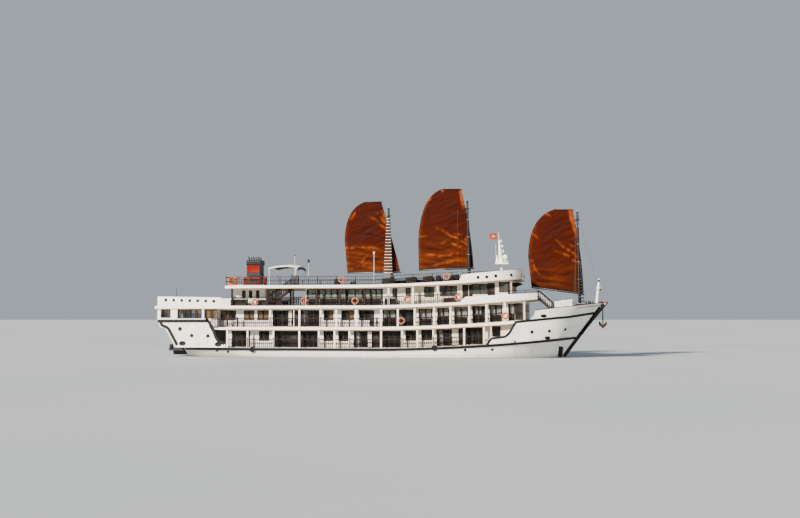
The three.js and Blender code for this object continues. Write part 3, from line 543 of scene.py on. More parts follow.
def metal(name, dark, light, metallic=0.0, rough=(0.3, 0.55), grain=9, gloss=0.5):
    finish, tree, shader = newFinish(name, Metallic=metallic, Specular_IOR_Level=gloss)
    mottled = cloudy(tree, grain, 6)
    setLook(tree, shader, blend(tree, mottled, dark, light), mottled, rough, cloudy(tree, 60, 3), 0.12, 0.003)
    return finish


def glass(name, tint, clear, rough=0.06, ior=1.35):
    finish, tree, shader = newFinish(name, Roughness=rough, IOR=ior, Alpha=clear)
    tinted = blend(tree, cloudy(tree, 3, 3), tint, [value * 1.7 for value in tint])
    setLook(tree, shader, tinted, None, None, cloudy(tree, 1.5, 2), 0.05, 0.004)
    return finish


def sailCloth():
    finish, tree, shader = newFinish("sailCloth", Specular_IOR_Level=0.05)
    faded = cloudy(tree, 1.1, 6)
    base = blend(tree, faded, (0.029, 0.0030, 0.0005), (0.045, 0.0052, 0.0008))
    panel = times(tree, cloudy(tree, 0.5, 3, (1, 1, 2.5)), 0.4)
    deep = blend(tree, panel, base, (0.020, 0.0021, 0.0005))
    # painted highlight: the foldHighlight attribute tints folds, the leech edge, wrinkle crests and a wedge by the luff
    # a golden orange
    foldHighlighted = blend(tree, times(tree, mark(tree, "foldHighlight"), 0.8, True), deep, (0.25, 0.052, 0.005))
    # painted shade: the shade attribute darkens furrows, wrinkle troughs, bands at head and foot, the cloth ahead of
    # the mast and the fore sail's clew corner
    shaded = blend(tree, times(tree, mark(tree, "shade"), 0.85, True), foldHighlighted, (0.010, 0.0025, 0.0012))
    threads = addNode(tree, "TexWave", {
        "Vector": spread(tree), "Scale": 160, "Distortion": 0.4}, bands_direction="Z").outputs["Fac"]
    setLook(tree, shader, shaded, faded, (0.6, 0.78), threads, 0.12, 0.0008)
    return finish


def canvas(name, colour, worn, weave=140):
    finish, tree, shader = newFinish(name, Sheen_Weight=0.2)
    faded = cloudy(tree, 2.2, 5)
    threads = addNode(tree, "TexChecker", {"Vector": spread(tree), "Scale": weave}).outputs["Fac"]
    setLook(tree, shader, blend(tree, faded, colour, worn), faded, (0.65, 0.85), threads, 0.15, 0.001)
    return finish


def ringFoam():
    finish, tree, shader = newFinish("lifeRingFoam")
    scuffed = cloudy(tree, 30, 5)
    orange = blend(tree, scuffed, (0.37, 0.042, 0.002), (0.28, 0.028, 0.0015))
    banded = blend(tree, mark(tree, "band"), orange, (0.55, 0.45, 0.34))
    setLook(tree, shader, banded, scuffed, (0.45, 0.65), scuffed, 0.1, 0.002)
    return finish


finishes = {
    "hull": hullPaint(),
    "white": paint("whiteEnamel", (0.93, 0.91, 0.85), (0.76, 0.72, 0.63)),
    "wall": paint("wallBoards", (0.90, 0.87, 0.79), (0.66, 0.60, 0.49), 6.0, 0.25, (0.76, 0.68, 0.52)),
    "cream": paint("creamDoors", (0.74, 0.66, 0.52), (0.52, 0.45, 0.34), dirt=0.2),
    # deck undersides: a darker tan than the slab's white, painted shade under the decks
    "soffit": paint("soffitPaintedShade", (0.55, 0.43, 0.28), (0.36, 0.27, 0.16), dirt=0.5),
    "planks": deckPlanks(),
    "wood": wood("darkHardwood", (0.004, 0.0026, 0.002), (0.012, 0.006, 0.004)),
    "rail": wood("railTimber", (0.0045, 0.0027, 0.0022), (0.013, 0.0065, 0.0045), (0.08, 1, 1)),
    "redwood": wood("stairTimber", (0.022, 0.005, 0.003), (0.052, 0.012, 0.007), (0.1, 1, 1), coat=0.05),
    # golden brown for the bead under each deck edge: partly trim, partly the edge's painted shadow line
    "fascia": wood("fasciaTimberAndShadowLine", (0.26, 0.13, 0.045), (0.40, 0.22, 0.085), (0.08, 1, 1)),
    "blind": wood("blindSlats", (0.50, 0.30, 0.15), (0.66, 0.43, 0.24), (0.1, 1, 1), (0.5, 0.7)),
    # near-black panel colour for the wall inside the cabins: painted shade of the unlit interior
    "bulkhead": wood("cabinShadePanelling", (0.016, 0.011, 0.008), (0.036, 0.024, 0.016), rough=(0.5, 0.7)),
    "black": metal("blackEnamel", (0.004, 0.004, 0.0045), (0.009, 0.009, 0.009), gloss=0.2),
    "mast": metal("mastPaint", (0.005, 0.0055, 0.006), (0.012, 0.012, 0.012), rough=(0.35, 0.5), gloss=0.3),
    "rubber": metal("tyreRubber", (0.006, 0.006, 0.006), (0.016, 0.015, 0.014), 0.0, (0.7, 0.9), 20, 0.2),
    "charcoal": metal("funnelCharcoal", (0.010, 0.012, 0.015), (0.020, 0.023, 0.027), rough=(0.4, 0.6), gloss=0.25),
    "orange": metal("funnelOrange", (0.20, 0.006, 0.0002), (0.15, 0.005, 0.0002), rough=(0.4, 0.55), gloss=0.08),
    "floatOrange": metal("floatShell", (0.23, 0.013, 0.0005), (0.13, 0.006, 0.0005), 0.0, (0.5, 0.7), 12, 0.12),
    "floatPale": metal("floatFaded", (0.52, 0.135, 0.03), (0.38, 0.07, 0.014), 0.0, (0.5, 0.7), 12, 0.25),
    "netting": metal("floatNetting", (0.03, 0.022, 0.018), (0.09, 0.06, 0.04), rough=(0.8, 0.95)),
    "bronze": metal("propellerBronze", (0.42, 0.25, 0.10), (0.26, 0.17, 0.09), 0.9, (0.25, 0.5)),
    "steel": metal("brightSteel", (0.55, 0.55, 0.54), (0.42, 0.41, 0.39), 0.8, (0.25, 0.45)),
    "antifouling": metal("bottomPaint", *bottomColours, rough=(0.6, 0.8)),
    "redTip": metal("stemTipRed", (0.55, 0.03, 0.02), (0.42, 0.025, 0.02)),
    "wire": metal("rigWire", (0.10, 0.10, 0.10), (0.06, 0.06, 0.06), 0.2, gloss=0.2),
    "rust": metal("rustedIron", (0.018, 0.011, 0.008), (0.045, 0.022, 0.012), 0.2, (0.6, 0.85), 16, 0.2),
    "cabinGlass": glass("cabinGlass", (0.013, 0.014, 0.011), 0.34, 0.08, 1.3),
    "bridgeGlass": glass("bridgeGlass", (0.045, 0.05, 0.04), 0.6),
    "saloonGlass": glass("saloonGlass", (0.165, 0.19, 0.155), 0.6),
    "sail": sailCloth(),
    "awning": canvas("awningCanvas", (0.84, 0.83, 0.80), (0.68, 0.66, 0.62)),
    # dark brown-grey for the awning's underside: painted shade
    "shadeLining": canvas("awningShadeLining", (0.050, 0.040, 0.033), (0.085, 0.070, 0.055)),
    "navy": canvas("navyCanvas", (0.014, 0.022, 0.045), (0.022, 0.032, 0.06)),
    "rope": canvas("paleRope", (0.62, 0.58, 0.50), (0.42, 0.38, 0.32), 300),
    "flagRed": canvas("flagCloth", (0.24, 0.004, 0.0015), (0.18, 0.004, 0.0015), 320),
    "flagGold": canvas("flagStar", (0.70, 0.40, 0.015), (0.58, 0.33, 0.015), 320),
    "lifeRing": ringFoam(),
}
print("finishes mixed")

# floor and light
studioFloor = addShape("plane", size=6000, location=(0, 0, 0))
studioFloor.name = "studioFloor"
finishes["floor"], floorTree, floorShader = newFinish("paleFloor", Roughness=0.75)
floorColour = blend(floorTree, cloudy(floorTree, 0.05, 2), (0.33, 0.36, 0.39), (0.36, 0.385, 0.41))
setLook(floorTree, floorShader, floorColour, None, None, None, 0, 0)
paintWith(studioFloor, "floor")

daylight = {"from": (-0.5, -0.78, 0.5), "strength": 12.5, "colour": (1.0, 0.92, 0.80), "softness": 8}
skyLight = {"colour": (0.72, 0.80, 0.90, 1), "strength": 0.55}
bpy.ops.object.light_add(type="SUN", rotation=Vector(daylight["from"]).to_track_quat("Z", "Y").to_euler())
sunLamp = bpy.context.object
sunLamp.name = "softSun"
sunLamp.data.energy = daylight["strength"]
sunLamp.data.color = daylight["colour"]
sunLamp.data.angle = radians(daylight["softness"])
sky = bpy.data.worlds.new("paleSky")
sky.use_nodes = True
background = sky.node_tree.nodes["Background"]
background.inputs["Color"].default_value = skyLight["colour"]
background.inputs["Strength"].default_value = skyLight["strength"]
bpy.context.scene.world = sky
print("floor and light set")

# hull, decks and bulwarks: the solids' own forms with smooth plating and a finish to each face
hull = plate(
    "hull", "hullPlating", "hull", "planks", slots=[lambda face: facesUp(face) and face.center.z > 0.8 * shipScale],
    angle=28)
# a brown bead under each deck's edge: partly trim, partly the thin shadow line under the edge, painted
deckBead = {"inset": 0.03, "under": 0.02, "aft": 0.12, "radius": 0.06}
for level, plan in deckPlans.items():
    # slab undersides take the soffit colour, painted shade under each deck
    plate("deck_" + level, level + "DeckPlating", "white", "planks", "soffit", slots=[facesUp, facesDown], angle=25)
    stations = sorted({row[0] for row in plan} | {x for x in range(-26, 20, 2) if plan[0][0] < x < plan[-1][0]})
    for side, sign in sides.items():
        path = [
            (max(x, plan[0][0] + deckBead["aft"]), sign * (readTable(plan, x) - deckBead["inset"]),
             deckTop(level, x) - slabDepth - deckBead["under"]) for x in stations]
        addPiece(level + "DeckBeading" + side.title(), tubeAlong(path, deckBead["radius"]), "fascia")
sternPlating = plate("stern_shell", "sternPlating", "hull", angle=28)
sternBulwark = plate("stern_bulwark", "sternBulwarkPlating", "white", angle=28)
plate("bridge_bulwark", "bridgeBulwarkPlating", "white", angle=28)
sunBulwark = plate("sun_bulwark", "sunBulwarkPlating", "white", angle=28)
plate("foredeck", "foredeckPlanking", "planks")
print("plating done")


def sidePoint(x, z, target):
    hit, point, normal, _ = target.ray_cast(at(x, -8, z), Vector((0, 1, 0)))
    return (point, normal) if hit and point.y < -0.1 and normal.y < 0 else (None, None)


def ribbonOnSide(points, width, thickness, target):
    count = max(len(points), ceil(sum(legLengths(points)) / 0.2))
    path = evenly(points, count)
    ribbon = addSheet(count, 2)
    lastDepth = None
    for vertex in sorted(ribbon.data.vertices, key=lambda item: (round(item.co.x, 4), abs(item.co.y))):
        step = round((vertex.co.x + 0.5) * count)
        (x, z), ahead, behind = path[step], path[min(step + 1, count)], path[max(step - 1, 0)]
        shift = vertex.co.y * width / hypot(ahead[0] - behind[0], ahead[1] - behind[1])
        x, z = x - (ahead[1] - behind[1]) * shift, z + (ahead[0] - behind[0]) * shift
        point, _ = sidePoint(x, z, target)
        lastDepth = point.y if point else lastDepth
        vertex.co = at(x, 0, z)
        vertex.co.y = lastDepth
    turnOutwards(ribbon)
    return thicken(ribbon, thickness)


bpy.context.view_layer.update()
bowStripe = {
    "upper": [(16.71, 4.23), (18.3, 4.4), (19.88, 4.56), (21.23, 4.7), (22.59, 4.81), (23.95, 5.02), (25.56, 5.29)],
    "scoop": [
        (13.26, 1.48), (13.61, 2.04), (13.88, 2.34), (14.65, 2.43), (15.46, 2.55), (15.92, 2.97), (16.2, 3.43),
        (16.43, 3.89), (16.71, 4.26)],
    "lower": [(18.6, 1.93), (20.3, 2.06), (21.8, 2.2), (23.35, 2.38)],
}
bothSides("bowStripes", [ribbonOnSide(line, 0.26, 0.07, hull) for line in bowStripe.values()], "black")
sternBead = {
    "top": [(-26.8, 4.33), (-20.4, 4.35)],
    "fore": [
        (-20.62, 4.66), (-20.45, 4.5), (-20.1, 4.04), (-19.97, 3.62), (-19.68, 3.2), (-19.32, 2.33),
        (-19.05, 1.93), (-18.25, 1.6)],
    "aft": [(-26.48, 4.35), (-26.17, 3.77), (-25.9, 3.7), (-25.62, 3.6), (-25.35, 3.39), (-24.24, 1.44)],
}
bothSides("sternBeads", [ribbonOnSide(line, 0.36, 0.1, sternPlating) for line in sternBead.values()], "black")


def portsOn(target, rows):
    ports = []
    for x, z, radius, stretch in rows:
        ring = addTorus((0, 0, 0), radius, radius * 0.2, around=20, across=6)
        disc = addShape("cylinder", vertices=20, radius=radius * shipScale, depth=0.04 * shipScale)
        insetFaces(disc, lambda face: face.normal.z > 0.9, (radius * 0.2, -0.012))
        port = joinAs("port", [ring, disc])
        point, normal = sidePoint(x, z, target)
        turn = normal.to_track_quat("Z", "Y").to_matrix().to_4x4()
        port.data.transform(Matrix.Translation(point) @ turn @ Matrix.Diagonal((stretch, 1, 1, 1)))
        ports.append(port)
    return ports


hullPorts = [  # x, z, radius, stretch
    (18.47, 3.08, 0.17, 1), (20.43, 3.19, 0.16, 1), (22.23, 3.36, 0.15, 1), (-19.32, 0.71, 0.13, 1),
    (-17.9, 0.63, 0.14, 1), (-17.33, 0.97, 0.1, 1), (10.82, 0.98, 0.15, 1), (13.93, 1.05, 0.15, 1),
    (19.83, 4.93, 0.17, 1.9), (20.2, 2.4, 0.17, 1.9)]
sternPorts = [
    (-23.9, 3.37, 0.22, 1), (-22.4, 2.58, 0.2, 1), (-20.35, 2.53, 0.2, 1), (-23.57, 1.63, 0.25, 1.5),
    (-19.05, 1.54, 0.25, 1.5)]
bothSides("hullPorts", portsOn(hull, hullPorts) + portsOn(sternPlating, sternPorts), "black")
bulwarkPorts = portsOn(sternBulwark, [(-25.74 + 1.018 * step, 6.88 - 0.026 * step, 0.165, 1) for step in range(7)])
bulwarkPorts += portsOn(
    sunBulwark, [(x, z, 0.165, 1) for x, z in ((12.36, 9.39), (13.36, 9.44), (14.38, 9.55), (16.1, 9.7))])
bothSides("bulwarkPorts", bulwarkPorts, "black")

tyre = {"places": [(-14.75, 0.93), (7.26, 1.2)], "radius": 0.25, "tube": 0.1, "y": -5.462, "flat": 0.5}
tyres = []
for x, z in tyre["places"]:
    ring = addTorus((0, 0, 0), tyre["radius"], tyre["tube"], (quarter, 0, 0), 24, 10)
    insetFaces(ring, lambda face: abs(face.normal.y) < 0.5, (0.01, -0.008))
    ring.data.transform(movedBy(x, tyre["y"], z) @ Matrix.Diagonal((1, tyre["flat"], 1, 1)))
    tyres.append(ring)
bothSides("fenderTyres", tyres, "rubber")
print("hull trim done")

# window and door frames with their glass; the third value says whether they reach the deck
openings = {
    "lower": [
        (-17.6, -15.8, 1), (-14.2, -13, 0), (-12.5, -10.5, 1), (-8.8, -6.8, 1), (-6.2, -5.1, 0), (-4.4, -3.2, 0),
        (-2.5, -0.9, 1), (1, 3.1, 1), (3.7, 5, 0), (5.6, 6.8, 0), (7.4, 8.9, 1), (10.9, 13, 1), (13.9, 14.8, 0)],
    "middle": [
        (-19, -17.2, 0), (-16.1, -14.9, 0), (-14.4, -13.1, 0), (-12.5, -10.7, 1), (-8.8, -6.8, 1), (-6.2, -5.1, 0),
        (-4, -2.6, 0), (-1.9, -0.6, 0), (1, 2.5, 1), (3.3, 4.7, 1), (5.3, 6.8, 0), (7.5, 8.8, 1), (9.5, 11, 0),
        (11.6, 13, 1), (13.6, 15, 0), (15.8, 16.5, 0)],
    "upper": [
        (-8.2, -7.3, 0), (-6.8, -4.7, 0), (-4.3, -3.6, 0), (-3.3, -1.6, 0), (-1.2, 0.7, 0), (2.1, 2.6, 0),
        (3.7, 4.2, 0), (5.9, 7, 0), (7.8, 9.7, 0), (11.6, 13.3, 0), (14.7, 15.7, 0)],
}
windowFrame = {
    "sill": 0.85, "head": 1.95, "threshold": 0.12, "overlap": 0.05, "member": 0.085, "recess": 0.025,
    "proud": 0.035, "thickness": 0.05, "leaf": 0.72, "wideLeaf": 0.8}
wallHalf = {"lower": 4.4, "middle": 4.4, "upper": 4.2}
bridgeFrom = 1.5  # ahead of this the upper deck's windows and pillars differ


def glazedFrame(x0, x1, z0, z1, y, leaf):
    grow = windowFrame["overlap"]
    leaves = max(1, round((x1 - x0) / leaf))
    return addPanel(leaves, 1, x0 - grow, x1 + grow, y - windowFrame["proud"], z0 - grow, z1 + grow)


def glaze(name, frames, glassKey):
    window = paintWith(joinAs(name, frames), "wood", glassKey)
    insetFaces(window, None, (windowFrame["member"], -windowFrame["recess"]), slot=1)
    return thicken(window, windowFrame["thickness"], -1)


for level, rows in openings.items():
    frames = []
    for x0, x1, toDeck in rows:
        deck = deckTop(level, (x0 + x1) / 2)
        foot = deck + windowFrame["threshold" if toDeck else "sill"]
        frames.append(glazedFrame(x0, x1, foot, deck + windowFrame["head"], -wallHalf[level], windowFrame["leaf"]))
    windows = glaze(level + "Windows", frames, "saloonGlass" if level == "upper" else "cabinGlass")
    if level == "upper":
        windows.data.materials.append(finishes["bridgeGlass"])
        slotFaces(windows, lambda face: face.material_index == 1 and face.center.x > bridgeFrom * shipScale, first=2)
    bothSides(level + "Windows", windows)
print("windows glazed")

sternWindows = {"spans": [(-24.2, -21.2), (-20.8, -19.2)], "sill": 4.7, "head": 5.76, "y": -5.34}
aftHouse = {"windows": [-16.65, -15.8, -14.9], "width": 0.45, "sill": 0.9, "head": 1.9, "half": 3.6}
frames = [
    glazedFrame(x0, x1, sternWindows["sill"], sternWindows["head"], sternWindows["y"], windowFrame["wideLeaf"])
    for x0, x1 in sternWindows["spans"]]
for x in aftHouse["windows"]:
    deck = deckTop("upper", x)
    frames.append(glazedFrame(
        x, x + aftHouse["width"], deck + aftHouse["sill"], deck + aftHouse["head"], -aftHouse["half"],
        windowFrame["wideLeaf"]))
bothSides("sternWindows", glaze("windows", frames, "cabinGlass"))

# dark framed panels between and below the gallery windows, standing partly for dark timber and glazing and partly for
# painted shade in open doorways and deep recesses, and a return beside the stern
darkFronts = {
    "lower": [(-15.8, -15.35), (-12.5, -6.8), (-2.5, 3.1), (7.4, 9.14), (9.93, 13.0)],
    "middle": [(-12.5, -6.8), (-0.6, -0.1), (1.0, 4.7), (5.3, 6.8), (9.5, 11.0), (13.6, 15.0), (15.8, 17.45)],
    "upper": [(-8.4, 0.9), (10.25, 10.36), (11.15, 11.6), (13.35, 14.2), (15.7, 15.95)],
    "proud": 0.045, "thickness": 0.05, "member": 0.07, "leaf": 0.7, "low": 0.06, "high": 1.99,
    "reach": 0.3, "gap": 0.05, "least": 0.12}
for level, rows in openings.items():
    fronts = []
    for x0, x1 in darkFronts[level]:
        reach, gap, low = darkFronts["reach"], darkFronts["gap"], darkFronts["low"]
        glazed = sorted(row for row in rows if row[0] > x0 - reach and row[1] < x1 + reach)
        edges = [x0] + [edge for row in glazed for edge in (row[0] - gap, row[1] + gap)] + [x1]
        spans = [
            (a, b, darkFronts["high"]) for a, b in zip(edges[::2], edges[1::2]) if b - a > darkFronts["least"]]
        spans += [(row[0], row[1], windowFrame["sill"] - 0.06) for row in glazed if not row[2]]
        for a, b, high in spans:
            deck = deckTop(level, (a + b) / 2)
            leaves = max(1, round((b - a) / darkFronts["leaf"]))
            y = -wallHalf[level] - darkFronts["proud"]
            fronts.append(addPanel(leaves, 2 if high > 1 else 1, a, b, y, deck + low, deck + high))
    front = insetFaces(joinAs("fronts", fronts), None, (darkFronts["member"], -0.02))
    # the fronts take the dark timber finish, which here also paints the shade of doorways and recesses
    bothSides(level + "TimberAndShadeFronts", thicken(front, darkFronts["thickness"], -1), "wood")
bothSides("sternReturns", addBlock((-19.3, -5.26, 3.68), (-19.17, -4.42, 5.75), 0.02), "white")
balconyLeaves = {"rows": [("middle", -10.5, -10.1), ("lower", -0.82, -0.36)], "y": -4.62, "low": 0.06, "high": 1.95}
leaves = []
for level, x0, x1 in balconyLeaves["rows"]:
    y = balconyLeaves["y"]
    leaf = addBlock((x0, y, balconyLeaves["low"]), (x1, y + 0.06, balconyLeaves["high"]), 0.01)
    leaves.append(followSheer(insetFaces(leaf, facesOut, (0.05, -0.012), cuts=1), level))
bothSides("balconyLeaves", leaves, "cream")
print("timber fronts set")

endWindows = [  # level, x, facing, sill, head, spans
    ("lower", -18.19, -1, 0.1, 1.85, [(-1, -0.2)]),
    ("middle", -19.3, -1, 0.1, 1.85, [(-3.2, -1.4), (1.4, 3.2)]),
    ("middle", 17.5, 1, 0.9, 1.85, [(-3.4, -1.6), (-0.9, 0.9), (1.6, 3.4)]),
    ("upper", -8.59, -1, 0.1, 1.85, [(-3.2, -1.2), (-0.8, 0.8), (1.2, 3.2)]),
    ("upper", 16, 1, 0.9, 1.85, [(-3.7, -2), (-1.7, -0.1), (0.1, 1.7), (2, 3.7)]),
    ("middle", -26.95, -1, 1.08, 2.14, [(-2.9, -1.1), (-0.85, 0.85), (1.1, 2.9)]),
]
for number, (level, x, facing, sill, head, spans) in enumerate(endWindows):
    deck = deckTop(level, x)
    frames = [glazedFrame(y0, y1, deck + sill, deck + head, 0, windowFrame["wideLeaf"]) for y0, y1 in spans]
    window = glaze("endWindows" + str(number), frames, "bridgeGlass" if level == "upper" else "cabinGlass")
    window.data.transform(movedBy(x, 0, 0) @ Matrix.Rotation(quarter * facing, 4, "Z"))
    finishPiece(window)
print("end windows glazed")

# what stands behind the glass
# a very dark wall inside the lower and middle cabins, painted as the shade of the unlit interior
cabinShadeWall = {"lower": (-17.6, 16.1), "middle": (-18.6, 17.1), "y": 1.3, "low": 0.03, "high": 2.08}
for level in ("lower", "middle"):
    shadeLining = addBar(*cabinShadeWall[level], -cabinShadeWall["y"], 0.06, cabinShadeWall["low"], cabinShadeWall["high"], level)
    bothSides(level + "CabinShadeWall", insetFaces(shadeLining, facesAcross, (0.18, -0.008)), "bulkhead")

curtains = {  # level, ends, and where the foot hangs as a share of the opening's height
    "tan": [("middle", -19, -18.1, 0), ("middle", -16.1, -14.9, 0), ("middle", -14.4, -13.1, 0),
            ("middle", -5.75, -5.1, 0), ("middle", -3.3, -2.6, 0.35)],
    "pale": [("middle", 7.65, 8.72, 0.5), ("middle", 11.89, 12.59, 0.45), ("middle", 1.1, 2.4, 0.55),
             ("middle", 5.4, 6.7, 0.35), ("middle", 9.6, 10.9, 0.3), ("middle", 13.7, 14.9, 0.3),
             ("lower", 7.6, 8.1, 0), ("lower", -2.3, -1.9, 0), ("middle", -9.2, -8.3, 0),
             ("middle", 15.9, 16.4, 0.4)],
    "stern": [("middle", -20.7, -20.15, 0.45), ("middle", -20.0, -19.35, 0.45), ("middle", -22.1, -21.7, 0.45)],
    "setBack": 0.07, "pleat": 0.09, "depth": 0.05, "thickness": 0.012, "sternSetBack": 0.16,
}


def pleatedCurtain(level, x0, x1, low):
    foot, head = windowFrame["threshold"], windowFrame["head"] + 0.05
    pleats, deck = max(4, round((x1 - x0) / curtains["pleat"]) * 2), deckTop(level, x0)
    curtain = addPanel(
        pleats, 3, x0, x1, -wallHalf[level] + curtains["setBack"], deck + foot + (head - foot) * low, deck + head)
    for vertex in curtain.data.vertices:
        step = round((vertex.co.x / shipScale - x0) / (x1 - x0) * pleats)
        vertex.co.y += (curtains["depth"] if step % 2 else 0) * shipScale
    return thicken(curtain, curtains["thickness"], -1)


sternDrops = joinAs("drops", [pleatedCurtain(*row) for row in curtains["stern"]])
sternDrops.data.transform(movedBy(0, sternWindows["y"] + wallHalf["middle"] + curtains["sternSetBack"], 0))
bothSides("tanCurtains", [*(pleatedCurtain(*row) for row in curtains["tan"]), sternDrops], "blind")
bothSides("paleCurtains", [pleatedCurtain(*row) for row in curtains["pale"]], "white")
print("cabins lined")

# galleries: handrails, balusters and newels round the solids' own rails and pillars
galleries = {
    "lower": {"ends": (-17.95, 13.1), "newels": [-15.4, -12.2, -6.6, -2.9, 3.4, 7.1]},
    "middle": {"ends": (-17.98, 15.5), "newels": [-16.7, -12.6, -6.4, -2.9, 0.4]},
    "upper": {"ends": (-17.4, 10.3), "newels": [-17.4, -13, -9.8, -4.1, 1.8, 7.6]},
}
balustrade = {
    "y": -5.2, "pitch": 0.25, "radius": 0.032, "foot": 0.12, "head": 0.97, "newel": 0.065, "newelTop": 1.2,
    "swell": 0.7, "swellShare": 0.16}


def baluster(x):
    y, foot, head = balustrade["y"], balustrade["foot"], balustrade["head"]
    shaft = splitEdges(addPost(x, y, foot, head, balustrade["radius"], None, 6), 2, 0.1, 3)
    middle = at(x, y, 0)
    for vertex in shaft.data.vertices:
        share = (vertex.co.z / shipScale - foot) / (head - foot)
        swell = 1 + balustrade["swell"] * exp(-((share - 0.5) / balustrade["swellShare"]) ** 2)
        vertex.co.x = middle.x + (vertex.co.x - middle.x) * swell
        vertex.co.y = middle.y + (vertex.co.y - middle.y) * swell
    return shaft


def squarePost(x, y, half, low, high, bevel):
    return addBlock((x - half, y - half, low), (x + half, y + half, high), bevel)


def newelPost(x, y):
    half, top = balustrade["newel"], balustrade["newelTop"]
    return joinAs("newel", [
        squarePost(x, y, half, 0, top, 0.012), squarePost(x, y, half + 0.02, top - 0.12, top - 0.06, 0.015)])


for level, gallery in galleries.items():
    (x0, x1), y, pitch = gallery["ends"], balustrade["y"], balustrade["pitch"]
    rails = [addBar(x0 - 0.05, x1, y, 0.14, 0.95, 1.07, level, 0.02), addBar(x0, x1, y, 0.07, 0.09, 0.15, level)]
    rails += [followSheer(newelPost(x, y - 0.05), level) for x in gallery["newels"]]
    bothSides(level + "GalleryRails", rails, "rail")
    row = repeatAlong(baluster(x0 + pitch), (pitch, 0, 0), floor((x1 - x0) / pitch) - 1)
    bothSides(level + "Balusters", followSheer(row, level), "wood")
print("galleries railed")

# sails: cloth drawn between leech and luff, with folds pulled towards the mast, and painted highlights and painted
# shade carried in its colour
masts = {
    "mizzen": {"foot": (1.27, deckTop("sun", 1.27)), "head": (0.8, 18.2)},
    "main": {"foot": (10.75, deckTop("sun", 10.75)), "head": (10.5, 18.95)},
    "fore": {"foot": (23.88, foredeckTop(23.88)), "head": (23.68, 17.4)},
}
rigs = {  # corners in x, z; slackHighlight is how strong the painted highlights on the slack cloth are, regionShade is how dark the painted shade on the cloth ahead of the mast is; bright lines carry painted highlights, dark lines painted shade, and corner bounds a corner in painted shade
    "mizzen": {
        "regionShade": 0, "slackHighlight": 1.0, "wedge": [], "corner": None, "clew": (-4.42, 10.37), "leech": (-4.78, 14.2),
        "leechPull": (-4.75, 18.2), "shoulder": (-2.3, 19.0), "peak": (-0.26, 19.08), "luffPull": (1.25, 14),
        "tack": (2.17, 10.36),
        "bright": [
            [(0.8, 15.3), (0.51, 15.56), (-1.04, 16.82), (-1.8, 17.3)], [(0.38, 16.38), (-0.79, 17.73)],
            [(0.47, 16.55), (-0.2, 17.96)], [(-4.67, 13.36), (-1.46, 13.37), (0.3, 12.97)],
            [(-2.82, 11.31), (-1.55, 12.79)], [(-3.91, 10.74), (-1.46, 11.39)], [(-3.9, 17.0), (-3.1, 18.2)]],
        "dark": [[(-4.51, 12.07), (-2.49, 11.8), (0.4, 12.1)], [(-3.8, 15.1), (-1.5, 15.0), (0.4, 14.4)]],
    },
    "main": {
        "regionShade": 0.9, "slackHighlight": 0.8, "wedge": [[(9.7, 20.3), (10.12, 18.1)]], "corner": None, "clew": (4.52, 10.63),
        "leech": (4.45, 14.2), "leechPull": (4.75, 19.9), "shoulder": (7.6, 20.46), "peak": (9.66, 20.44),
        "luffPull": (10.95, 15), "tack": (11.19, 10.8),
        "bright": [
            [(10.54, 13.53), (8.82, 14.57), (6.58, 15.72)], [(10.54, 14.03), (9.76, 14.72), (8.6, 15.1)],
            [(9.67, 13.33), (8.13, 13.98), (7.09, 13.65)], [(9.63, 20.02), (10.01, 17.96)],
            [(7.48, 20.3), (7.48, 19.95)], [(5.5, 18.7), (6.1, 19.4)], [(4.6, 14.62), (5.6, 14.7)],
            [(4.9, 12.5), (6.8, 12.2), (9.9, 12.6)], [(6.2, 11.0), (8.2, 11.5), (10.2, 12.0)]],
        "dark": [
            [(4.68, 13.3), (7, 13.0), (9.9, 13.0)], [(4.68, 12.0), (7, 11.8), (9.9, 12.1)],
            [(5.2, 11.2), (7.8, 11.0), (10.2, 11.4)]],
    },
    "fore": {
        "regionShade": 0.9, "slackHighlight": 0.4, "corner": ((17.87, 9.3), (19.05, 8.05)), "clew": (18.2, 8.45),
        "wedge": [[(22.8, 17.6), (23.2, 16.2), (23.62, 14.3)], [(23.0, 17.6), (23.3, 16.4), (23.6, 15.2)]],
        "leech": (17.82, 12), "leechPull": (17.9, 16.9), "shoulder": (21.05, 17.72), "peak": (23.07, 17.7),
        "luffPull": (24.1, 13), "tack": (24.33, 7.6),
        "bright": [
            [(22.75, 17.53), (23.0, 16.2), (23.5, 14.6)], [(23.62, 11.36), (22.13, 12.29), (20.98, 12.77)],
            [(23.7, 11.91), (21.72, 13.6), (21.0, 14.0)], [(23.54, 12.99), (22.63, 13.51)],
            [(23.44, 13.88), (23.13, 14.17)], [(18.38, 14.9), (19.13, 14.13)], [(20.06, 17.32), (20.56, 16.64)],
            [(18.3, 11.6), (18.7, 10.4), (19.6, 9.6)]],
        "dark": [
            [(18.72, 9.01), (21, 8.9), (23.62, 8.5)], [(18.6, 10.2), (21, 9.8), (23.9, 10.0)],
            [(17.87, 9.3), (18.2, 8.6), (19.01, 8.1)]],
    },
}
sailCut = {
    "plane": 0.5, "columns": 84, "rows": 120, "belly": 0.06, "foldWidth": 0.17, "furrowWidth": 0.15,
    "wedgeWidth": 0.2, "foldHeight": 0.065, "rippleHeight": 0.045, "thickness": 0.012, "slackTo": 0.42,
    "wrinkle": (0.45, 2.9), "rope": 0.035, "reach": (-0.02, 0.13)}
noiseStart = 7.3


def creaseNear(x, z, lines, width):
    deepest = 0
    for line in lines:
        spans = legLengths(line)
        nearest, done = (1e9, 0), 0
        for (ax, az), (bx, bz), span in zip(line, line[1:], spans):
            share = min(max(((x - ax) * (bx - ax) + (z - az) * (bz - az)) / span ** 2, 0), 1)
            apart = hypot(x - ax - (bx - ax) * share, z - az - (bz - az) * share)
            nearest = min(nearest, (apart, (done + span * share) / sum(spans)))
            done += span
        apart, run = nearest
        depth = exp(-(apart / width) ** 2) * (1 - 0.75 * abs(2 * run - 0.7) ** 1.6 / 1.3 ** 1.6)
        deepest = max(deepest, depth)
    return deepest


